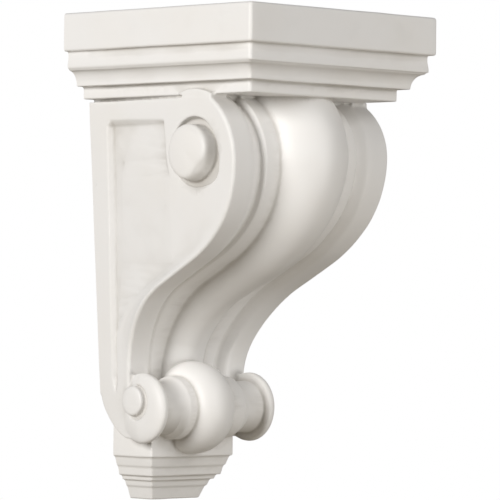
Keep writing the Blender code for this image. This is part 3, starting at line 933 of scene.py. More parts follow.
@dataclass
class Roll:
    """The roll that closes the foot of the scroll: end discs, necks, collars and a bead.

    `disc_back` and `neck_root` give the disc's inner edge and the neck's start as (distance
    outwards from the disc's inner side, what is added to the radius). The buttons are the small
    eyes on the ends, each in a shallow hollow given as (radius, depth).
    """

    y: float = -38.0
    z: float = 58.5
    segments: int = 128
    disc_radius: float = 22.0
    disc_half: float = 51.8
    disc_width: float = 7.6
    disc_rim: float = 4.2
    disc_dome: float = 12.0
    disc_steps: int = 6
    disc_back: tuple[Point, ...] = ((1.2, -0.1), (0.4, -0.7), (0.0, -1.6))
    disc_fall: float = 0.18
    disc_flat: float = 0.6
    disc_margin: float = 0.5
    neck_radius: float = 16.4
    neck_root: tuple[Point, ...] = ((-0.3, 0.9), (-1.2, 0.2))
    neck_start: float = 7.0
    neck_flare: float = 3.4
    neck_curve: float = 3.0
    neck_steps: int = 8
    collar_radius: float = 19.8
    collar_reach: float = 24.2
    collar_arris: float = 1.2
    collar_inner: float = 9.0
    bead_radius: float = 29.2
    bead_half: float = 14.2
    bead_foot: float = 20.4
    bead_offset: float = -3.2
    bead_core: float = 0.6
    bead_steps: int = 20
    button_radius: float = 9.2
    button_proud: float = 2.6
    button_root: float = 12.0
    button_edge: tuple[Point, ...] = ((1.4, 0.0), (0.5, 1.0))
    button_flat: float = 0.5
    button_at: Point = (4.0, 4.5)
    button_recess: Point = (11.4, 1.6)
    button_recess_at: Point = (-1.6, -0.8)
    button_recess_draft: Point = (0.5, 1.2)
    button_recess_over: float = 4.0

    @property
    def disc_inner(self) -> float:
        """Return the distance of each disc's inner side from the middle."""
        return self.disc_half - self.disc_width

    def half_profile(self) -> list[Point]:
        """Set out the turning from one end to the middle.

        Returns:
            (x, radius) pairs from the disc's face inwards.
        """
        inner = self.disc_inner
        half = [(self.disc_half, self.disc_radius - self.disc_dome)]
        for k in range(1, self.disc_steps + 1):
            angle = quarter(k, self.disc_steps)
            x = self.disc_half - self.disc_rim * (1.0 - math.cos(angle))
            half.append((x, self.disc_radius - self.disc_dome * (1.0 - math.sin(angle))))
        half += [(inner + out, self.disc_radius + more) for out, more in self.disc_back]
        half += [(inner + out, self.neck_radius + more) for out, more in self.neck_root]
        for k in range(self.neck_steps + 1):
            share = k / self.neck_steps
            x = between((inner - self.neck_start, self.collar_reach), share)
            half.append((x, self.neck_radius + self.neck_flare * share**self.neck_curve))
        half.append((self.collar_reach - self.collar_arris, self.collar_radius))
        half.append((self.collar_inner, self.collar_radius))
        return half

    def spindle(self) -> bpy.types.Object:
        """Build the discs, necks and collars in one turning.

        Returns:
            A closed mesh object.
        """
        inner = self.disc_inner
        half = self.half_profile()
        profile = half + [(-x, radius) for x, radius in reversed(half)]

        def fallen(x: float, y: float, _: float) -> float:
            """Return how far the back of a disc falls away inwards at a point."""
            share = max(0.0, (abs(x) - inner) / self.disc_width)
            return -math.copysign(max(0.0, y - self.y) * self.disc_fall * share, x)

        def flattened(x: float, degrees: float) -> float:
            """Find what is rubbed off the front of a disc.

            Args:
                x: the place along the roll.
                degrees: the angle round it.

            Returns:
                What is added to the radius there.
            """
            if abs(x) < inner - self.disc_margin:
                return 0.0
            return -self.disc_flat * max(0.0, -math.cos(math.radians(degrees))) ** 2

        return turned("roll", profile, (self.y, self.z), self.segments, reach=flattened, fall=fallen)

    def bead(self) -> bpy.types.Object:
        """Build the round bead, a little off the middle as it came from the mould.

        Returns:
            A closed mesh object.
        """
        rise, core = self.bead_radius - self.bead_foot, self.bead_foot * self.bead_core
        profile = [(self.bead_offset + self.bead_half, core)]
        for k in range(-self.bead_steps, self.bead_steps + 1):
            angle = quarter(k, self.bead_steps)
            x = self.bead_offset - self.bead_half * math.sin(angle)
            profile.append((x, self.bead_foot + rise * math.cos(angle)))
        profile.append((self.bead_offset - self.bead_half, core))
        return turned("bead", profile, (self.y, self.z), self.segments)

    def button(self, side: Side) -> bpy.types.Object:
        """Build the small eye on one end of the roll.

        Args:
            side: the end it lies on.

        Returns:
            A closed mesh object.
        """
        face = self.disc_half + self.button_proud - self.button_at[0] * self.disc_fall
        rows = [(self.disc_half - self.button_root, self.button_radius)]
        rows += [(face - sunk, self.button_radius - less) for sunk, less in self.button_edge]
        rows.append((face, self.button_radius * self.button_flat))
        profile = [(side.value * x, radius) for x, radius in rows]
        centre = (self.y + self.button_at[0], self.z + self.button_at[1])
        return turned("button", profile, centre, self.segments // 2)

    def button_hollow(self, side: Side) -> bpy.types.Object:
        """Build the cutter for the shallow hollow about the small eye.

        Args:
            side: the end it lies on.

        Returns:
            A closed mesh object.
        """
        face = self.disc_half - self.button_at[0] * self.disc_fall
        radius, depth = self.button_recess
        draft, splay = self.button_recess_draft
        profile = [
            (side.value * (face - depth), radius - draft),
            (side.value * (face + self.button_recess_over), radius + splay),
        ]
        centre = (
            self.y + self.button_at[0] + self.button_recess_at[0],
            self.z + self.button_at[1] + self.button_recess_at[1],
        )
        return turned("button_hollow", profile, centre, self.segments // 2)


@dataclass
class Body:
    """The slab behind the scroll's front, with inclined sides and an arched foot.

    It is tucked up into the cap: `neck_tuck` gives the inset and height just above the soffit,
    and `tuck_inset` and `tuck_drop` those of its hidden top.
    """

    line: ScrollLine = field(default_factory=ScrollLine)
    front: RibbedFront = field(default_factory=RibbedFront)
    flare: Flare = field(default_factory=Flare)
    surplus: float = 5.0
    neck_tuck: Point = (17.8, 252.3)
    tuck_inset: float = 24.5
    tuck_drop: float = 28.8
    tuck_back: float = 1.3
    wall_drop: float = 0.4
    arc_centre: Point = (-38.0, 75.5)
    arc_radius: float = 38.8
    arc_start: float = 0.3
    arc_end: float = 24.0
    arc_lift: float = 0.6
    arc_steps: int = 20

    def rows(self) -> list[list[Spot]]:
        """Set out the rows of points across the front.

        Returns:
            The rows from the cap down, each from the left flank to the right one.
        """
        rows = []
        for y, z, out_y, out_z, blend in self.line.stations():
            relief = 0.0 if z == self.line.foot_height else 1.0
            section = self.front.section(ENVELOPE.side(y, z) + self.flare.at(z), blend)
            sunk = self.front.arris * relief
            half = self.flare.strip(y - out_y * sunk, z - out_z * sunk)
            for x, proud in section:
                half.append((x, y + out_y * proud * relief, z + out_z * proud * relief))
            rows.append([(-x, py, pz) for x, py, pz in half] + half[-2::-1])
        top = rows[0]
        for inset, height in (self.neck_tuck, (self.tuck_inset, ENVELOPE.height - self.tuck_drop)):
            scale = (ENVELOPE.width / 2 - inset) / top[-1][0]
            rows.insert(0, [(x * scale, y, height) for x, y, z in top])
        return rows

    def wall_edge(self) -> list[Point]:
        """Set out the flank's edge down the wall and along the arched foot.

        Returns:
            (y, z) pairs from the soffit down and forward to the roll.
        """
        points = []
        for k in range(self.arc_steps + 1):
            y = -self.arc_end * (1.0 - math.cos(quarter(k, self.arc_steps)))
            y = -self.arc_start if k == 0 else y
            drop = math.sqrt(self.arc_radius**2 - (y - self.arc_centre[0]) ** 2)
            points.append((y, self.arc_centre[1] - drop))
        behind = (self.surplus, points[0][1] + self.arc_lift)
        return [(self.surplus, ENVELOPE.soffit - self.wall_drop), behind] + points

    def build(self) -> bpy.types.Object:
        """Build the body.

        Returns:
            A closed mesh object.
        """
        shape = bmesh.new()
        grid = [[shape.verts.new(place(*point)) for point in row] for row in self.rows()]
        for upper, lower in zip(grid, grid[1:]):
            for i in range(len(upper) - 1):
                shape.faces.new((upper[i], lower[i], lower[i + 1], upper[i + 1]))
        tuck = ENVELOPE.width / 2 - self.tuck_inset * self.tuck_back
        wall_edge = self.wall_edge()
        peak, columns = [], []
        for side in Side:
            high = place(side.value * tuck, self.surplus, ENVELOPE.height - self.tuck_drop)
            peak.append(shape.verts.new(high))
            points = [place(side.value * ENVELOPE.side(y, z), y, z) for y, z in wall_edge]
            columns.append([shape.verts.new(point) for point in points])
        left, right = columns
        edge_left, edge_right = [row[0] for row in grid], [row[-1] for row in grid]
        for wall, edge, high in ((left, edge_left, peak[0]), (right, edge_right, peak[1])):
            shape.faces.new(edge[2:] + wall[::-1])
            shape.faces.new((wall[0], edge[2], edge[1]))
            shape.faces.new((high, wall[0], edge[1], edge[0]))
        shape.faces.new(peak + grid[0][::-1])
        shape.faces.new((peak[0], peak[1], right[0], left[0]))
        for i in range(len(left) - 1):
            shape.faces.new((left[i], right[i], right[i + 1], left[i + 1]))
        shape.faces.new([left[-1], right[-1]] + grid[-1][::-1])
        return shape_object("body", shape)


@dataclass(frozen=True)
class Wear:
    """How far the mould and handling softened the sharp model, and how fine the mesh is."""

    voxel: float = 0.62
    softening: int = 4
    softness: float = 0.5
    swell: float = 0.22
    swell_length: float = 34.0
    ripple: float = 0.07
    ripple_length: float = 9.0
    triangles: int = 188_000
    sharp_angle: float = 60.0

    def unevenness(self, points: np.ndarray) -> np.ndarray:
        """Work out how far the cast faces stand off at each point.

        Args:
            points: the points, one row of three numbers to a point.

        Returns:
            The distances in metres.
        """
        swell = np.array([noise.noise(Vector(p) / (self.swell_length * MM)) for p in points])
        ripple = np.array([noise.noise(Vector(p) / (self.ripple_length * MM)) for p in points])
        return (swell * self.swell + ripple * self.ripple) * MM


@dataclass(frozen=True)
class PaintedShade:
    """Painted shade: colour darkened in the eye's recess and under the roll's necks, where shade falls.

    `recess` and `neck` give its strength. In the recess it is darkest towards
    `recess_heading`, in degrees, and nowhere weaker than `recess_least` of that.
    """

    recess: float = 1.0
    recess_margin: Point = (6.0, 2.2)
    recess_soft: Point = (2.0, 1.5)
    recess_depths: Point = (1.6, 5.4)
    recess_heading: float = 222.0
    recess_facing: Point = (0.2, 0.75)
    recess_least: float = 0.35
    neck: float = 0.9
    neck_reach: float = 0.8
    neck_depths: Point = (2.0, 14.0)
    neck_margin: Point = (-2.0, 4.0)

    def in_recess(self, volute: Volute, x: float, y: float, z: float) -> float:
        """Find how much painted shade a point of the eye's wall or recess gets.

        Args:
            volute: the volute whose recess it is.
            x: the point's distance from the middle.
            y: the point's place, negative in front of the wall.
            z: the point's height above the foot.

        Returns:
            0 where no shade is painted and the full strength where it is painted darkest.
        """
        ahead, up = y - volute.y, z - volute.z
        distance = math.hypot(ahead, up)
        inner = volute.eye_radius - self.recess_margin[0]
        outer = volute.recess_radius + self.recess_margin[1]
        if not inner < distance < outer:
            return 0.0
        rim = 1.0 - ramp(distance, (outer - self.recess_soft[1], outer))
        edge = min(ramp(distance, (inner, inner + self.recess_soft[0])), rim)
        depth = 1.0 - ramp(x - ENVELOPE.side(y, z), self.recess_depths)
        heading = math.radians(self.recess_heading)
        facing = (ahead * math.cos(heading) + up * math.sin(heading)) / distance
        share = between((self.recess_least, 1.0), ramp(facing, self.recess_facing))
        return self.recess * edge * depth * share

    def under_neck(self, roll: Roll, x: float, y: float, z: float) -> float:
        """Find how much painted shade a point under the roll's necks gets.

        Args:
            roll: the roll.
            x: the point's distance from the middle.
            y: the point's place, negative in front of the wall.
            z: the point's height above the foot.

        Returns:
            0 where no shade is painted and the full strength where it is painted darkest.
        """
        distance = math.hypot(y - roll.y, z - roll.z)
        if x > roll.disc_inner or distance > roll.neck_radius + self.neck_reach:
            return 0.0
        near, far = self.neck_margin
        clear = ramp(x, (roll.bead_half + near, roll.bead_half + far))
        return self.neck * eased(roll.z - z, self.neck_depths) * clear


@dataclass(frozen=True)
class Relief:
    """How hollows and arrises are told from the mesh: rounds of smoothing and depths sunk."""

    close_rounds: int = 9
    wide_rounds: int = 50
    blur_rounds: int = 4
    close_depth: float = 0.26
    wide_depth: float = 1.1

    def masks(self, mesh: bpy.types.Mesh) -> dict[str, np.ndarray]:
        """Measure how far each point lies in a crease, in a hollow or on an arris.

        Args:
            mesh: the mesh that is measured.

        Returns:
            For each of the three names a value from 0 to 1 to a point.
        """
        points, normals = points_and_normals(mesh)
        count = len(points)
        ends = np.empty(len(mesh.edges) * 2, dtype=np.int64)
        mesh.edges.foreach_get("vertices", ends)
        ends = ends.reshape(-1, 2)
        start = np.concatenate([ends[:, 0], ends[:, 1]])
        stop = np.concatenate([ends[:, 1], ends[:, 0]])
        degree = np.maximum(np.bincount(start, minlength=count), 1)

        def spread(values: np.ndarray) -> np.ndarray:
            """Return values drawn half way to the mean of their neighbours."""
            total = np.bincount(start, weights=values[stop], minlength=count)
            return 0.5 * values + 0.5 * total / degree

        def sunk_below(rounds: int) -> np.ndarray:
            """Measure how far each point lies below the smoothed surface.

            Args:
                rounds: how often the surface is smoothed.

            Returns:
                The depths in millimetres.
            """
            relaxed = points.copy()
            for _ in range(rounds):
                relaxed = np.stack([spread(relaxed[:, axis]) for axis in range(3)], axis=1)
            depth = ((relaxed - points) * normals).sum(axis=1) / MM
            for _ in range(self.blur_rounds):
                depth = spread(depth)
            return depth

        close, wide = sunk_below(self.close_rounds), sunk_below(self.wide_rounds)
        # crease and hollow are darkened in the finish as painted shade; arris gets the paler rubbed colour
        return {
            "crease": np.clip(close / self.close_depth, 0.0, 1.0),
            "hollow": np.clip(wide / self.wide_depth, 0.0, 1.0),
            "arris": np.clip(-close / self.close_depth, 0.0, 1.0),
        }


@dataclass
class Casting:
    """The whole casting: joins the shapes, softens them and measures hollows and arrises."""

    cap: Cap = field(default_factory=Cap)
    block: PendantBlock = field(default_factory=PendantBlock)
    body: Body = field(default_factory=Body)
    panel: Panel = field(default_factory=Panel)
    volute: Volute = field(default_factory=Volute)
    roll: Roll = field(default_factory=Roll)
    wear: Wear = field(default_factory=Wear)
    painted_shade: PaintedShade = field(default_factory=PaintedShade)
    relief: Relief = field(default_factory=Relief)

    def joined(self) -> bpy.types.Object:
        """Join every shape into one closed solid.

        Returns:
            The casting with sharp arrises.
        """
        casting = self.cap.build()
        join_shape(casting, self.block.build(), Joining.ADD)
        body = self.body.build()
        for side in Side:
            join_shape(body, self.panel.build(side, self.body.line, self.volute), Joining.CUT)
            join_shape(body, self.volute.recess(side), Joining.CUT)
        join_shape(casting, body, Joining.ADD)
        join_shape(casting, self.roll.spindle(), Joining.ADD)
        join_shape(casting, self.roll.bead(), Joining.ADD)
        for side in Side:
            join_shape(casting, self.volute.lap(side), Joining.ADD)
            join_shape(casting, self.volute.quirk(side), Joining.CUT)
            join_shape(casting, self.volute.eye(side), Joining.ADD)
            join_shape(casting, self.roll.button_hollow(side), Joining.CUT)
            join_shape(casting, self.roll.button(side), Joining.ADD)
        return casting

    def soften(self, casting: bpy.types.Object) -> None:
        """Turn the solid into an even mesh with soft arrises and slightly uneven faces.

        Args:
            casting: the object that is changed.
        """
        cast = casting.modifiers.new("even mesh", "REMESH")
        cast.mode = "VOXEL"
        cast.voxel_size = self.wear.voxel * MM
        rub = casting.modifiers.new("rubbed arrises", "SMOOTH")
        rub.factor = self.wear.softness
        rub.iterations = self.wear.softening
        settle(casting)
        mesh = casting.data
        points, normals = points_and_normals(mesh)
        points += normals * self.wear.unevenness(points)[:, None]
        mesh.vertices.foreach_set("co", points.ravel())
        mesh.update()

    def thin(self, casting: bpy.types.Object) -> None:
        """Bring the mesh under the triangle budget, most of it kept where the form turns.

        Args:
            casting: the object that is changed.
        """
        lighter = casting.modifiers.new("lighter mesh", "DECIMATE")
        lighter.ratio = min(1.0, self.wear.triangles / triangle_count(casting.data))
        settle(casting)

    def flatten_back(self, casting: bpy.types.Object) -> None:
        """Cut the back flat where it meets the wall, and close it again.

        Args:
            casting: the object that is changed.
        """
        shape = bmesh.new()
        shape.from_mesh(casting.data)
        everything = list(shape.verts) + list(shape.edges) + list(shape.faces)
        wall = {"plane_co": (0, 0, 0), "plane_no": (0, 1, 0)}
        cut = bmesh.ops.bisect_plane(shape, geom=everything, clear_outer=True, **wall)
        rim = [part for part in cut["geom_cut"] if isinstance(part, bmesh.types.BMEdge)]
        bmesh.ops.triangle_fill(shape, use_beauty=True, edges=rim)
        bmesh.ops.recalc_face_normals(shape, faces=shape.faces)
        shape.to_mesh(casting.data)
        shape.free()

    def measure(self, casting: bpy.types.Object) -> None:
        """Store the masks that the finish reads: creases, hollows, arrises and the painted shade in the
        eye's recess and under the necks.

        Args:
            casting: the object whose mesh is measured.
        """
        mesh = casting.data
        masks = self.relief.masks(mesh)
        points, _ = points_and_normals(mesh)
        # painted shade: the eye's recess and the necks' undersides are darkened where shade falls
        painted_shade_values = np.zeros(len(points))
        for k, (x, y, z) in enumerate(points / MM):
            spot = (abs(x), y, z + ENVELOPE.height / 2)
            painted_shade_values[k] = self.painted_shade.in_recess(self.volute, *spot) + self.painted_shade.under_neck(self.roll, *spot)
        masks["painted_shade"] = np.clip(painted_shade_values, 0.0, 1.0)
        for name, values in masks.items():
            layer = mesh.attributes.new(name, "FLOAT", "POINT")
            layer.data.foreach_set("value", values.astype(np.float32))

    def build(self) -> bpy.types.Object:
        """Build the finished casting mesh.

        Returns:
            The casting, without its material.
        """
        casting = self.joined()
        LOG.info("joined solid: %d triangles", triangle_count(casting.data))
        self.soften(casting)
        LOG.info("softened mesh: %d triangles", triangle_count(casting.data))
        self.thin(casting)
        self.flatten_back(casting)
        self.measure(casting)
        casting.name = "corbel_casting"
        casting.data.shade_smooth()
        casting.data.set_sharp_from_angle(angle=math.radians(self.wear.sharp_angle))
        return casting


def add_node(tree: bpy.types.NodeTree, kind: str, **values: object) -> bpy.types.Node:
    """Add a shader node and set its properties and inputs by name.

    Args:
        tree: the node tree.
        kind: the node's type name.
        values: properties, or inputs where the node has one with that name.

    Returns:
        The new node.
    """
    node = tree.nodes.new(kind)
    for key, value in values.items():
        label = key.replace("_", " ").title()
        if hasattr(node, key):
            setattr(node, key, value)
        else:
            node.inputs[label].default_value = value
    return node


def new_group(name: str, inputs: Sequence[str], output: str) -> bpy.types.NodeTree:
    """Make an empty shader node group with named value sockets.

    Args:
        name: the group's name.
        inputs: the names of its inputs.
        output: the name of its output.

    Returns:
        The group.
    """
    group = bpy.data.node_groups.new(name, "ShaderNodeTree")
    for label in inputs:
        group.interface.new_socket(label, in_out="INPUT", socket_type="NodeSocketFloat")
    group.interface.new_socket(output, in_out="OUTPUT", socket_type="NodeSocketFloat")
    return group


def colour_mix(tree: bpy.types.NodeTree, share: bpy.types.NodeSocket, over: Colour) -> bpy.types.Node:
    """Add a mix of two colours, of which the one underneath is still to be given.

    Args:
        tree: the node tree.
        share: the mask that shows the colour on top.
        over: the colour on top.

    Returns:
        The mix node.
    """
    blend = add_node(tree, "ShaderNodeMix", data_type="RGBA")
    blend.inputs[MIX_OVER].default_value = (*over, 1.0)
    tree.links.new(share, blend.inputs[MIX_SHARE])
    return blend


@dataclass(frozen=True)
class StoneFinish:
    """Off-white cast stone: smooth, satin and faintly mottled, with shade painted into its hollows and
    creases.
    """

    colour: Colour = (0.83, 0.818, 0.80)
    warm: Colour = (0.812, 0.792, 0.76)
    # painted shade colour, laid into hollows, creases, the eye's recess and under the necks
    painted_shade: Colour = (0.46, 0.435, 0.395)
    rubbed: Colour = (0.88, 0.868, 0.85)
    bedding: Colour = (0.60, 0.585, 0.555)
    warm_from: Point = (0.42, 0.78)
    # strengths of the painted shade in hollows, in creases, and in the eye's recess and under the necks
    hollow_shade_gain: float = 0.26
    crease_shade_gain: float = 0.55
    painted_shade_gain: float = 0.5
    arris_gain: float = 0.14
    wall_facing: float = 0.9
    roughness: Point = (0.41, 0.54)
    specular: float = 0.42
    blotch_size: float = 16.0
    skin_size: float = 140.0
    pinhole_size: float = 190.0
    pinhole_share: float = 0.05
    bump_strength: float = 0.35
    bump_height: float = 0.25

    def mottling(self) -> bpy.types.NodeTree:
        """Build the group that gives soft blotches over the surface.

        Returns:
            The node group.
        """
        group = new_group("mottling", ["Blotch Size"], "Blotches")
        given = group.nodes.new("NodeGroupInput")
        out = group.nodes.new("NodeGroupOutput")
        where = group.nodes.new("ShaderNodeTexCoord")
        cloud = add_node(group, "ShaderNodeTexNoise", detail=4.0, roughness=0.55)
        group.links.new(where.outputs["Object"], cloud.inputs["Vector"])
        group.links.new(given.outputs["Blotch Size"], cloud.inputs["Scale"])
        group.links.new(cloud.outputs["Fac"], out.inputs["Blotches"])
        return group

    def grain(self) -> bpy.types.NodeTree:
        """Build the group that gives the height of the cast skin: undulation and pinholes.

        Returns:
            The node group.
        """
        group = new_group("cast_skin", ["Skin Size", "Pinhole Size", "Pinhole Share"], "Height")
        given = group.nodes.new("NodeGroupInput")
        out = group.nodes.new("NodeGroupOutput")
        where = group.nodes.new("ShaderNodeTexCoord")
        skin = add_node(group, "ShaderNodeTexNoise", detail=5.0, roughness=0.6)
        holes = add_node(group, "ShaderNodeTexVoronoi", feature="F1")
        edge = add_node(group, "ShaderNodeMath", operation="LESS_THAN")
        cut = add_node(group, "ShaderNodeMath", operation="SUBTRACT")
        group.links.new(where.outputs["Object"], skin.inputs["Vector"])
        group.links.new(where.outputs["Object"], holes.inputs["Vector"])
        group.links.new(given.outputs["Skin Size"], skin.inputs["Scale"])
        group.links.new(given.outputs["Pinhole Size"], holes.inputs["Scale"])
        group.links.new(holes.outputs["Distance"], edge.inputs[0])
        group.links.new(given.outputs["Pinhole Share"], edge.inputs[1])
        group.links.new(skin.outputs["Fac"], cut.inputs[0])
        group.links.new(edge.outputs["Value"], cut.inputs[1])
        group.links.new(cut.outputs["Value"], out.inputs["Height"])
        return group

    def wall_side(self, tree: bpy.types.NodeTree) -> bpy.types.NodeSocket:
        """Add a mask of the flat back, which looks straight at the wall.

        Args:
            tree: the stone's node tree.

        Returns:
            The mask's socket.
        """
        facing = tree.nodes.new("ShaderNodeNewGeometry")
        apart = tree.nodes.new("ShaderNodeSeparateXYZ")
        flat = add_node(tree, "ShaderNodeMath", operation="GREATER_THAN")
        flat.inputs[1].default_value = self.wall_facing
        tree.links.new(facing.outputs["True Normal"], apart.inputs[0])
        tree.links.new(apart.outputs["Y"], flat.inputs[0])
        return flat.outputs["Value"]

    def mask(
        self, tree: bpy.types.NodeTree, name: str, broken: bpy.types.NodeSocket, gain: float
    ) -> bpy.types.NodeSocket:
        """Add a mask that is read from the mesh and broken up by a noise.

        Args:
            tree: the stone's node tree.
            name: the name under which the mesh stores it.
            broken: the noise.
            gain: how strong the mask is where the noise is at its mean.

        Returns:
            The mask's socket.
        """
        read = add_node(tree, "ShaderNodeAttribute", attribute_name=name)
        soft = add_node(tree, "ShaderNodeMath", operation="MULTIPLY")
        scaled = add_node(tree, "ShaderNodeMath", operation="MULTIPLY", use_clamp=True)
        scaled.inputs[1].default_value = gain / NOISE_MEAN
        tree.links.new(read.outputs["Fac"], soft.inputs[0])
        tree.links.new(broken, soft.inputs[1])
        tree.links.new(soft.outputs["Value"], scaled.inputs[0])
        return scaled.outputs["Value"]

    def ground(self, tree: bpy.types.NodeTree, share: bpy.types.NodeSocket) -> bpy.types.NodeSocket:
        """Add the stone's own colour, which runs to a warmer one over the blotches.

        Args:
            tree: the stone's node tree.
            share: the blotches.

        Returns:
            The colour's socket.
        """
        tones = tree.nodes.new("ShaderNodeValToRGB")
        for stop, at, colour in zip(tones.color_ramp.elements, self.warm_from, (self.colour, self.warm)):
            stop.position = at
            stop.color = (*colour, 1.0)
        tree.links.new(share, tones.inputs["Fac"])
        return tones.outputs["Color"]

    def build(self) -> bpy.types.Material:
        """Build the stone's material.

        Returns:
            The material.
        """
        stone = bpy.data.materials.new("off_white_cast_stone")
        stone.use_nodes = True
        tree = stone.node_tree
        shader = tree.nodes["Principled BSDF"]
        mottle = add_node(tree, "ShaderNodeGroup", node_tree=self.mottling())
        mottle.inputs["Blotch Size"].default_value = self.blotch_size
        blotches = mottle.outputs["Blotches"]
        skin = add_node(tree, "ShaderNodeGroup", node_tree=self.grain())
        skin.inputs["Skin Size"].default_value = self.skin_size
        skin.inputs["Pinhole Size"].default_value = self.pinhole_size
        skin.inputs["Pinhole Share"].default_value = self.pinhole_share
        # the first three layers are painted shade: a darker colour in hollows, creases, the eye's recess and
        # under the necks
        layers = [
            (self.mask(tree, "hollow", blotches, self.hollow_shade_gain), self.painted_shade),
            (self.mask(tree, "crease", blotches, self.crease_shade_gain), self.painted_shade),
            (self.mask(tree, "painted_shade", blotches, self.painted_shade_gain), self.painted_shade),
            (self.mask(tree, "arris", blotches, self.arris_gain), self.rubbed),
            (self.wall_side(tree), self.bedding),
        ]
        tone = self.ground(tree, blotches)
        for share, colour in layers:
            blend = colour_mix(tree, share, colour)
            tree.links.new(tone, blend.inputs[MIX_UNDER])
            tone = blend.outputs[MIX_RESULT]
        tree.links.new(tone, shader.inputs["Base Color"])
        sheen = add_node(tree, "ShaderNodeMapRange")
        sheen.inputs["To Min"].default_value = self.roughness[0]
        sheen.inputs["To Max"].default_value = self.roughness[1]
        tree.links.new(blotches, sheen.inputs["Value"])
        tree.links.new(sheen.outputs["Result"], shader.inputs["Roughness"])
        bump = add_node(tree, "ShaderNodeBump")
        bump.inputs["Strength"].default_value = self.bump_strength
        bump.inputs["Distance"].default_value = self.bump_height * MM
        tree.links.new(skin.outputs["Height"], bump.inputs["Height"])
        tree.links.new(bump.outputs["Normal"], shader.inputs["Normal"])
        shader.inputs["Specular IOR Level"].default_value = self.specular
        return stone


@dataclass(frozen=True)
class Softbox:
    """A large round soft light, aimed at the middle of the corbel.

    Its azimuth is measured from the front towards the corbel's left, in degrees, its distance
    and size are in metres and its power is in watts.
    """

    name: str
    azimuth: float
    elevation: float
    distance: float
    size: float
    power: float
    colour: Colour
    aim: Spot = (0.0, -0.08, 0.0)

    def build(self) -> bpy.types.Object:
        """Build the light.

        Returns:
            The light object.
        """
        lamp = bpy.data.lights.new(self.name, "AREA")
        lamp.shape = "DISK"
        lamp.size = self.size
        lamp.energy = self.power
        lamp.color = self.colour
        item = bpy.data.objects.new(self.name, lamp)
        away = outward(self.azimuth, self.elevation)
        item.location = Vector(self.aim) + away * self.distance
        item.rotation_euler = away.to_track_quat("Z", "Y").to_euler()
        item.visible_camera = False
        bpy.context.scene.collection.objects.link(item)
        return item


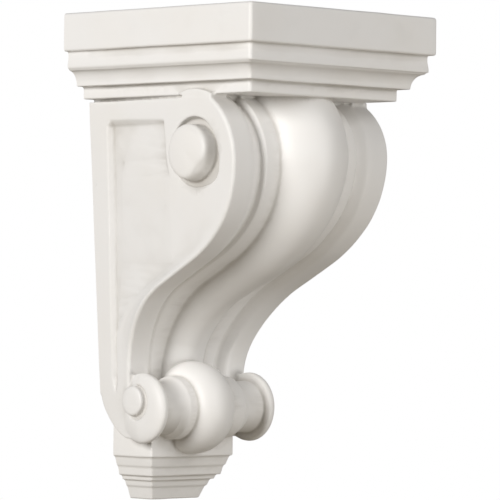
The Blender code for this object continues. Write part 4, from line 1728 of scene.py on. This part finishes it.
@dataclass
class Studio:
    """The pale floor, the lights and the camera at the photograph's angle.

    The floor's sizes are in metres. The camera's aim, shifts and distance count in heights of the
    corbel, and its focal length and the picture's width in pixels.
    """

    floor_drop: float = 0.8
    floor_radius: float = 7.0
    floor_segments: int = 96
    floor_roughness: float = 0.9
    floor_lift: float = 0.4
    floor_colour: Colour = (0.82, 0.82, 0.815)
    floor_bounce: Colour = (0.40, 0.355, 0.285)
    ambient: float = 0.04
    ambient_colour: Colour = (1.0, 0.995, 0.985)
    azimuth: float = 44.918
    elevation: float = -0.77545
    roll: float = 0.68183
    focal: float = 3744.58
    picture: float = 500.0
    sensor: float = 36.0
    far: float = 200.0
    aim: Spot = (0.0, -0.25, 0.5)
    shift_x: float = -0.01847
    shift_y: float = -0.01874
    distance: float = 7.69147
    lights: tuple[Softbox, ...] = (
        Softbox("key", 86.0, 13.0, 2.4, 1.1, 54.0, (1.0, 0.99, 0.98)),
        Softbox("front_low", -14.0, -10.0, 2.4, 0.9, 17.5, (1.0, 0.985, 0.965)),
        Softbox("front_high", -12.0, 26.0, 2.4, 1.5, 17.0, (1.0, 0.99, 0.98)),
    )

    def floor(self) -> bpy.types.Object:
        """Build the plain pale floor below the hanging corbel.

        Returns:
            The floor object.
        """
        low = ENVELOPE.height / 2 * MM + self.floor_drop
        shape = bmesh.new()
        bmesh.ops.create_circle(shape, cap_ends=True, radius=self.floor_radius, segments=self.floor_segments)
        bmesh.ops.translate(shape, verts=shape.verts, vec=(0.0, 0.0, -low))
        plane = shape_object("floor", shape)
        pale = bpy.data.materials.new("pale_floor")
        pale.use_nodes = True
        tree = pale.node_tree
        shader = tree.nodes["Principled BSDF"]
        shader.inputs["Roughness"].default_value = self.floor_roughness
        shader.inputs["Emission Strength"].default_value = self.floor_lift
        seen = add_node(tree, "ShaderNodeLightPath").outputs["Is Camera Ray"]
        tree.links.new(seen, shader.inputs["Emission Color"])
        tone = colour_mix(tree, seen, self.floor_colour)
        tone.inputs[MIX_UNDER].default_value = (*self.floor_bounce, 1.0)
        tree.links.new(tone.outputs[MIX_RESULT], shader.inputs["Base Color"])
        plane.data.materials.append(pale)
        return plane

    def camera(self) -> bpy.types.Object:
        """Build the camera at the photograph's place.

        Returns:
            The camera object.
        """
        tilt = math.radians(self.roll)
        back = outward(self.azimuth, self.elevation)
        ahead = -back
        right = ahead.cross(Vector((0.0, 0.0, 1.0))).normalized()
        up = right.cross(ahead)
        across = math.cos(tilt) * right + math.sin(tilt) * up
        upward = -math.sin(tilt) * right + math.cos(tilt) * up
        height = ENVELOPE.height * MM
        middle = Vector(self.aim) - self.shift_x * across - self.shift_y * upward
        spot = (middle - self.distance * ahead) * height
        spot.z -= height / 2
        lens = bpy.data.cameras.new("camera")
        lens.sensor_width = self.sensor
        lens.lens = self.focal / self.picture * lens.sensor_width
        lens.clip_end = self.far
        item = bpy.data.objects.new("camera", lens)
        turned_to = Matrix((across, upward, back)).transposed().to_4x4()
        item.matrix_world = Matrix.Translation(spot) @ turned_to
        bpy.context.scene.collection.objects.link(item)
        bpy.context.scene.camera = item
        return item

    def surroundings(self) -> None:
        """Make the surroundings white to the eye and a soft even light to the stone."""
        world = bpy.data.worlds.new("white_surroundings")
        bpy.context.scene.world = world
        world.use_nodes = True
        tree = world.node_tree
        tree.nodes.clear()
        seen = add_node(tree, "ShaderNodeBackground")
        seen.inputs["Color"].default_value = (1.0, 1.0, 1.0, 1.0)
        cast = add_node(tree, "ShaderNodeBackground")
        cast.inputs["Color"].default_value = (*self.ambient_colour, 1.0)
        cast.inputs["Strength"].default_value = self.ambient
        ray = add_node(tree, "ShaderNodeLightPath")
        mix = add_node(tree, "ShaderNodeMixShader")
        out = add_node(tree, "ShaderNodeOutputWorld")
        tree.links.new(ray.outputs["Is Camera Ray"], mix.inputs[0])
        tree.links.new(cast.outputs[0], mix.inputs[1])
        tree.links.new(seen.outputs[0], mix.inputs[2])
        tree.links.new(mix.outputs[0], out.inputs["Surface"])

    def build(self) -> None:
        """Build the whole studio."""
        self.floor()
        self.surroundings()
        for light in self.lights:
            light.build()
        self.camera()
        bpy.context.scene.view_settings.view_transform = "Standard"


def main() -> None:
    """Build the casting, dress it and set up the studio."""
    logging.basicConfig(level=logging.INFO, format="%(name)s: %(message)s")
    casting = Casting().build()
    casting.data.materials.append(StoneFinish().build())
    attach(casting, "root")
    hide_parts("corbel")
    LOG.info("%s: %d triangles", casting.name, triangle_count(casting.data))
    Studio().build()


if __name__ == "__main__":
    main()
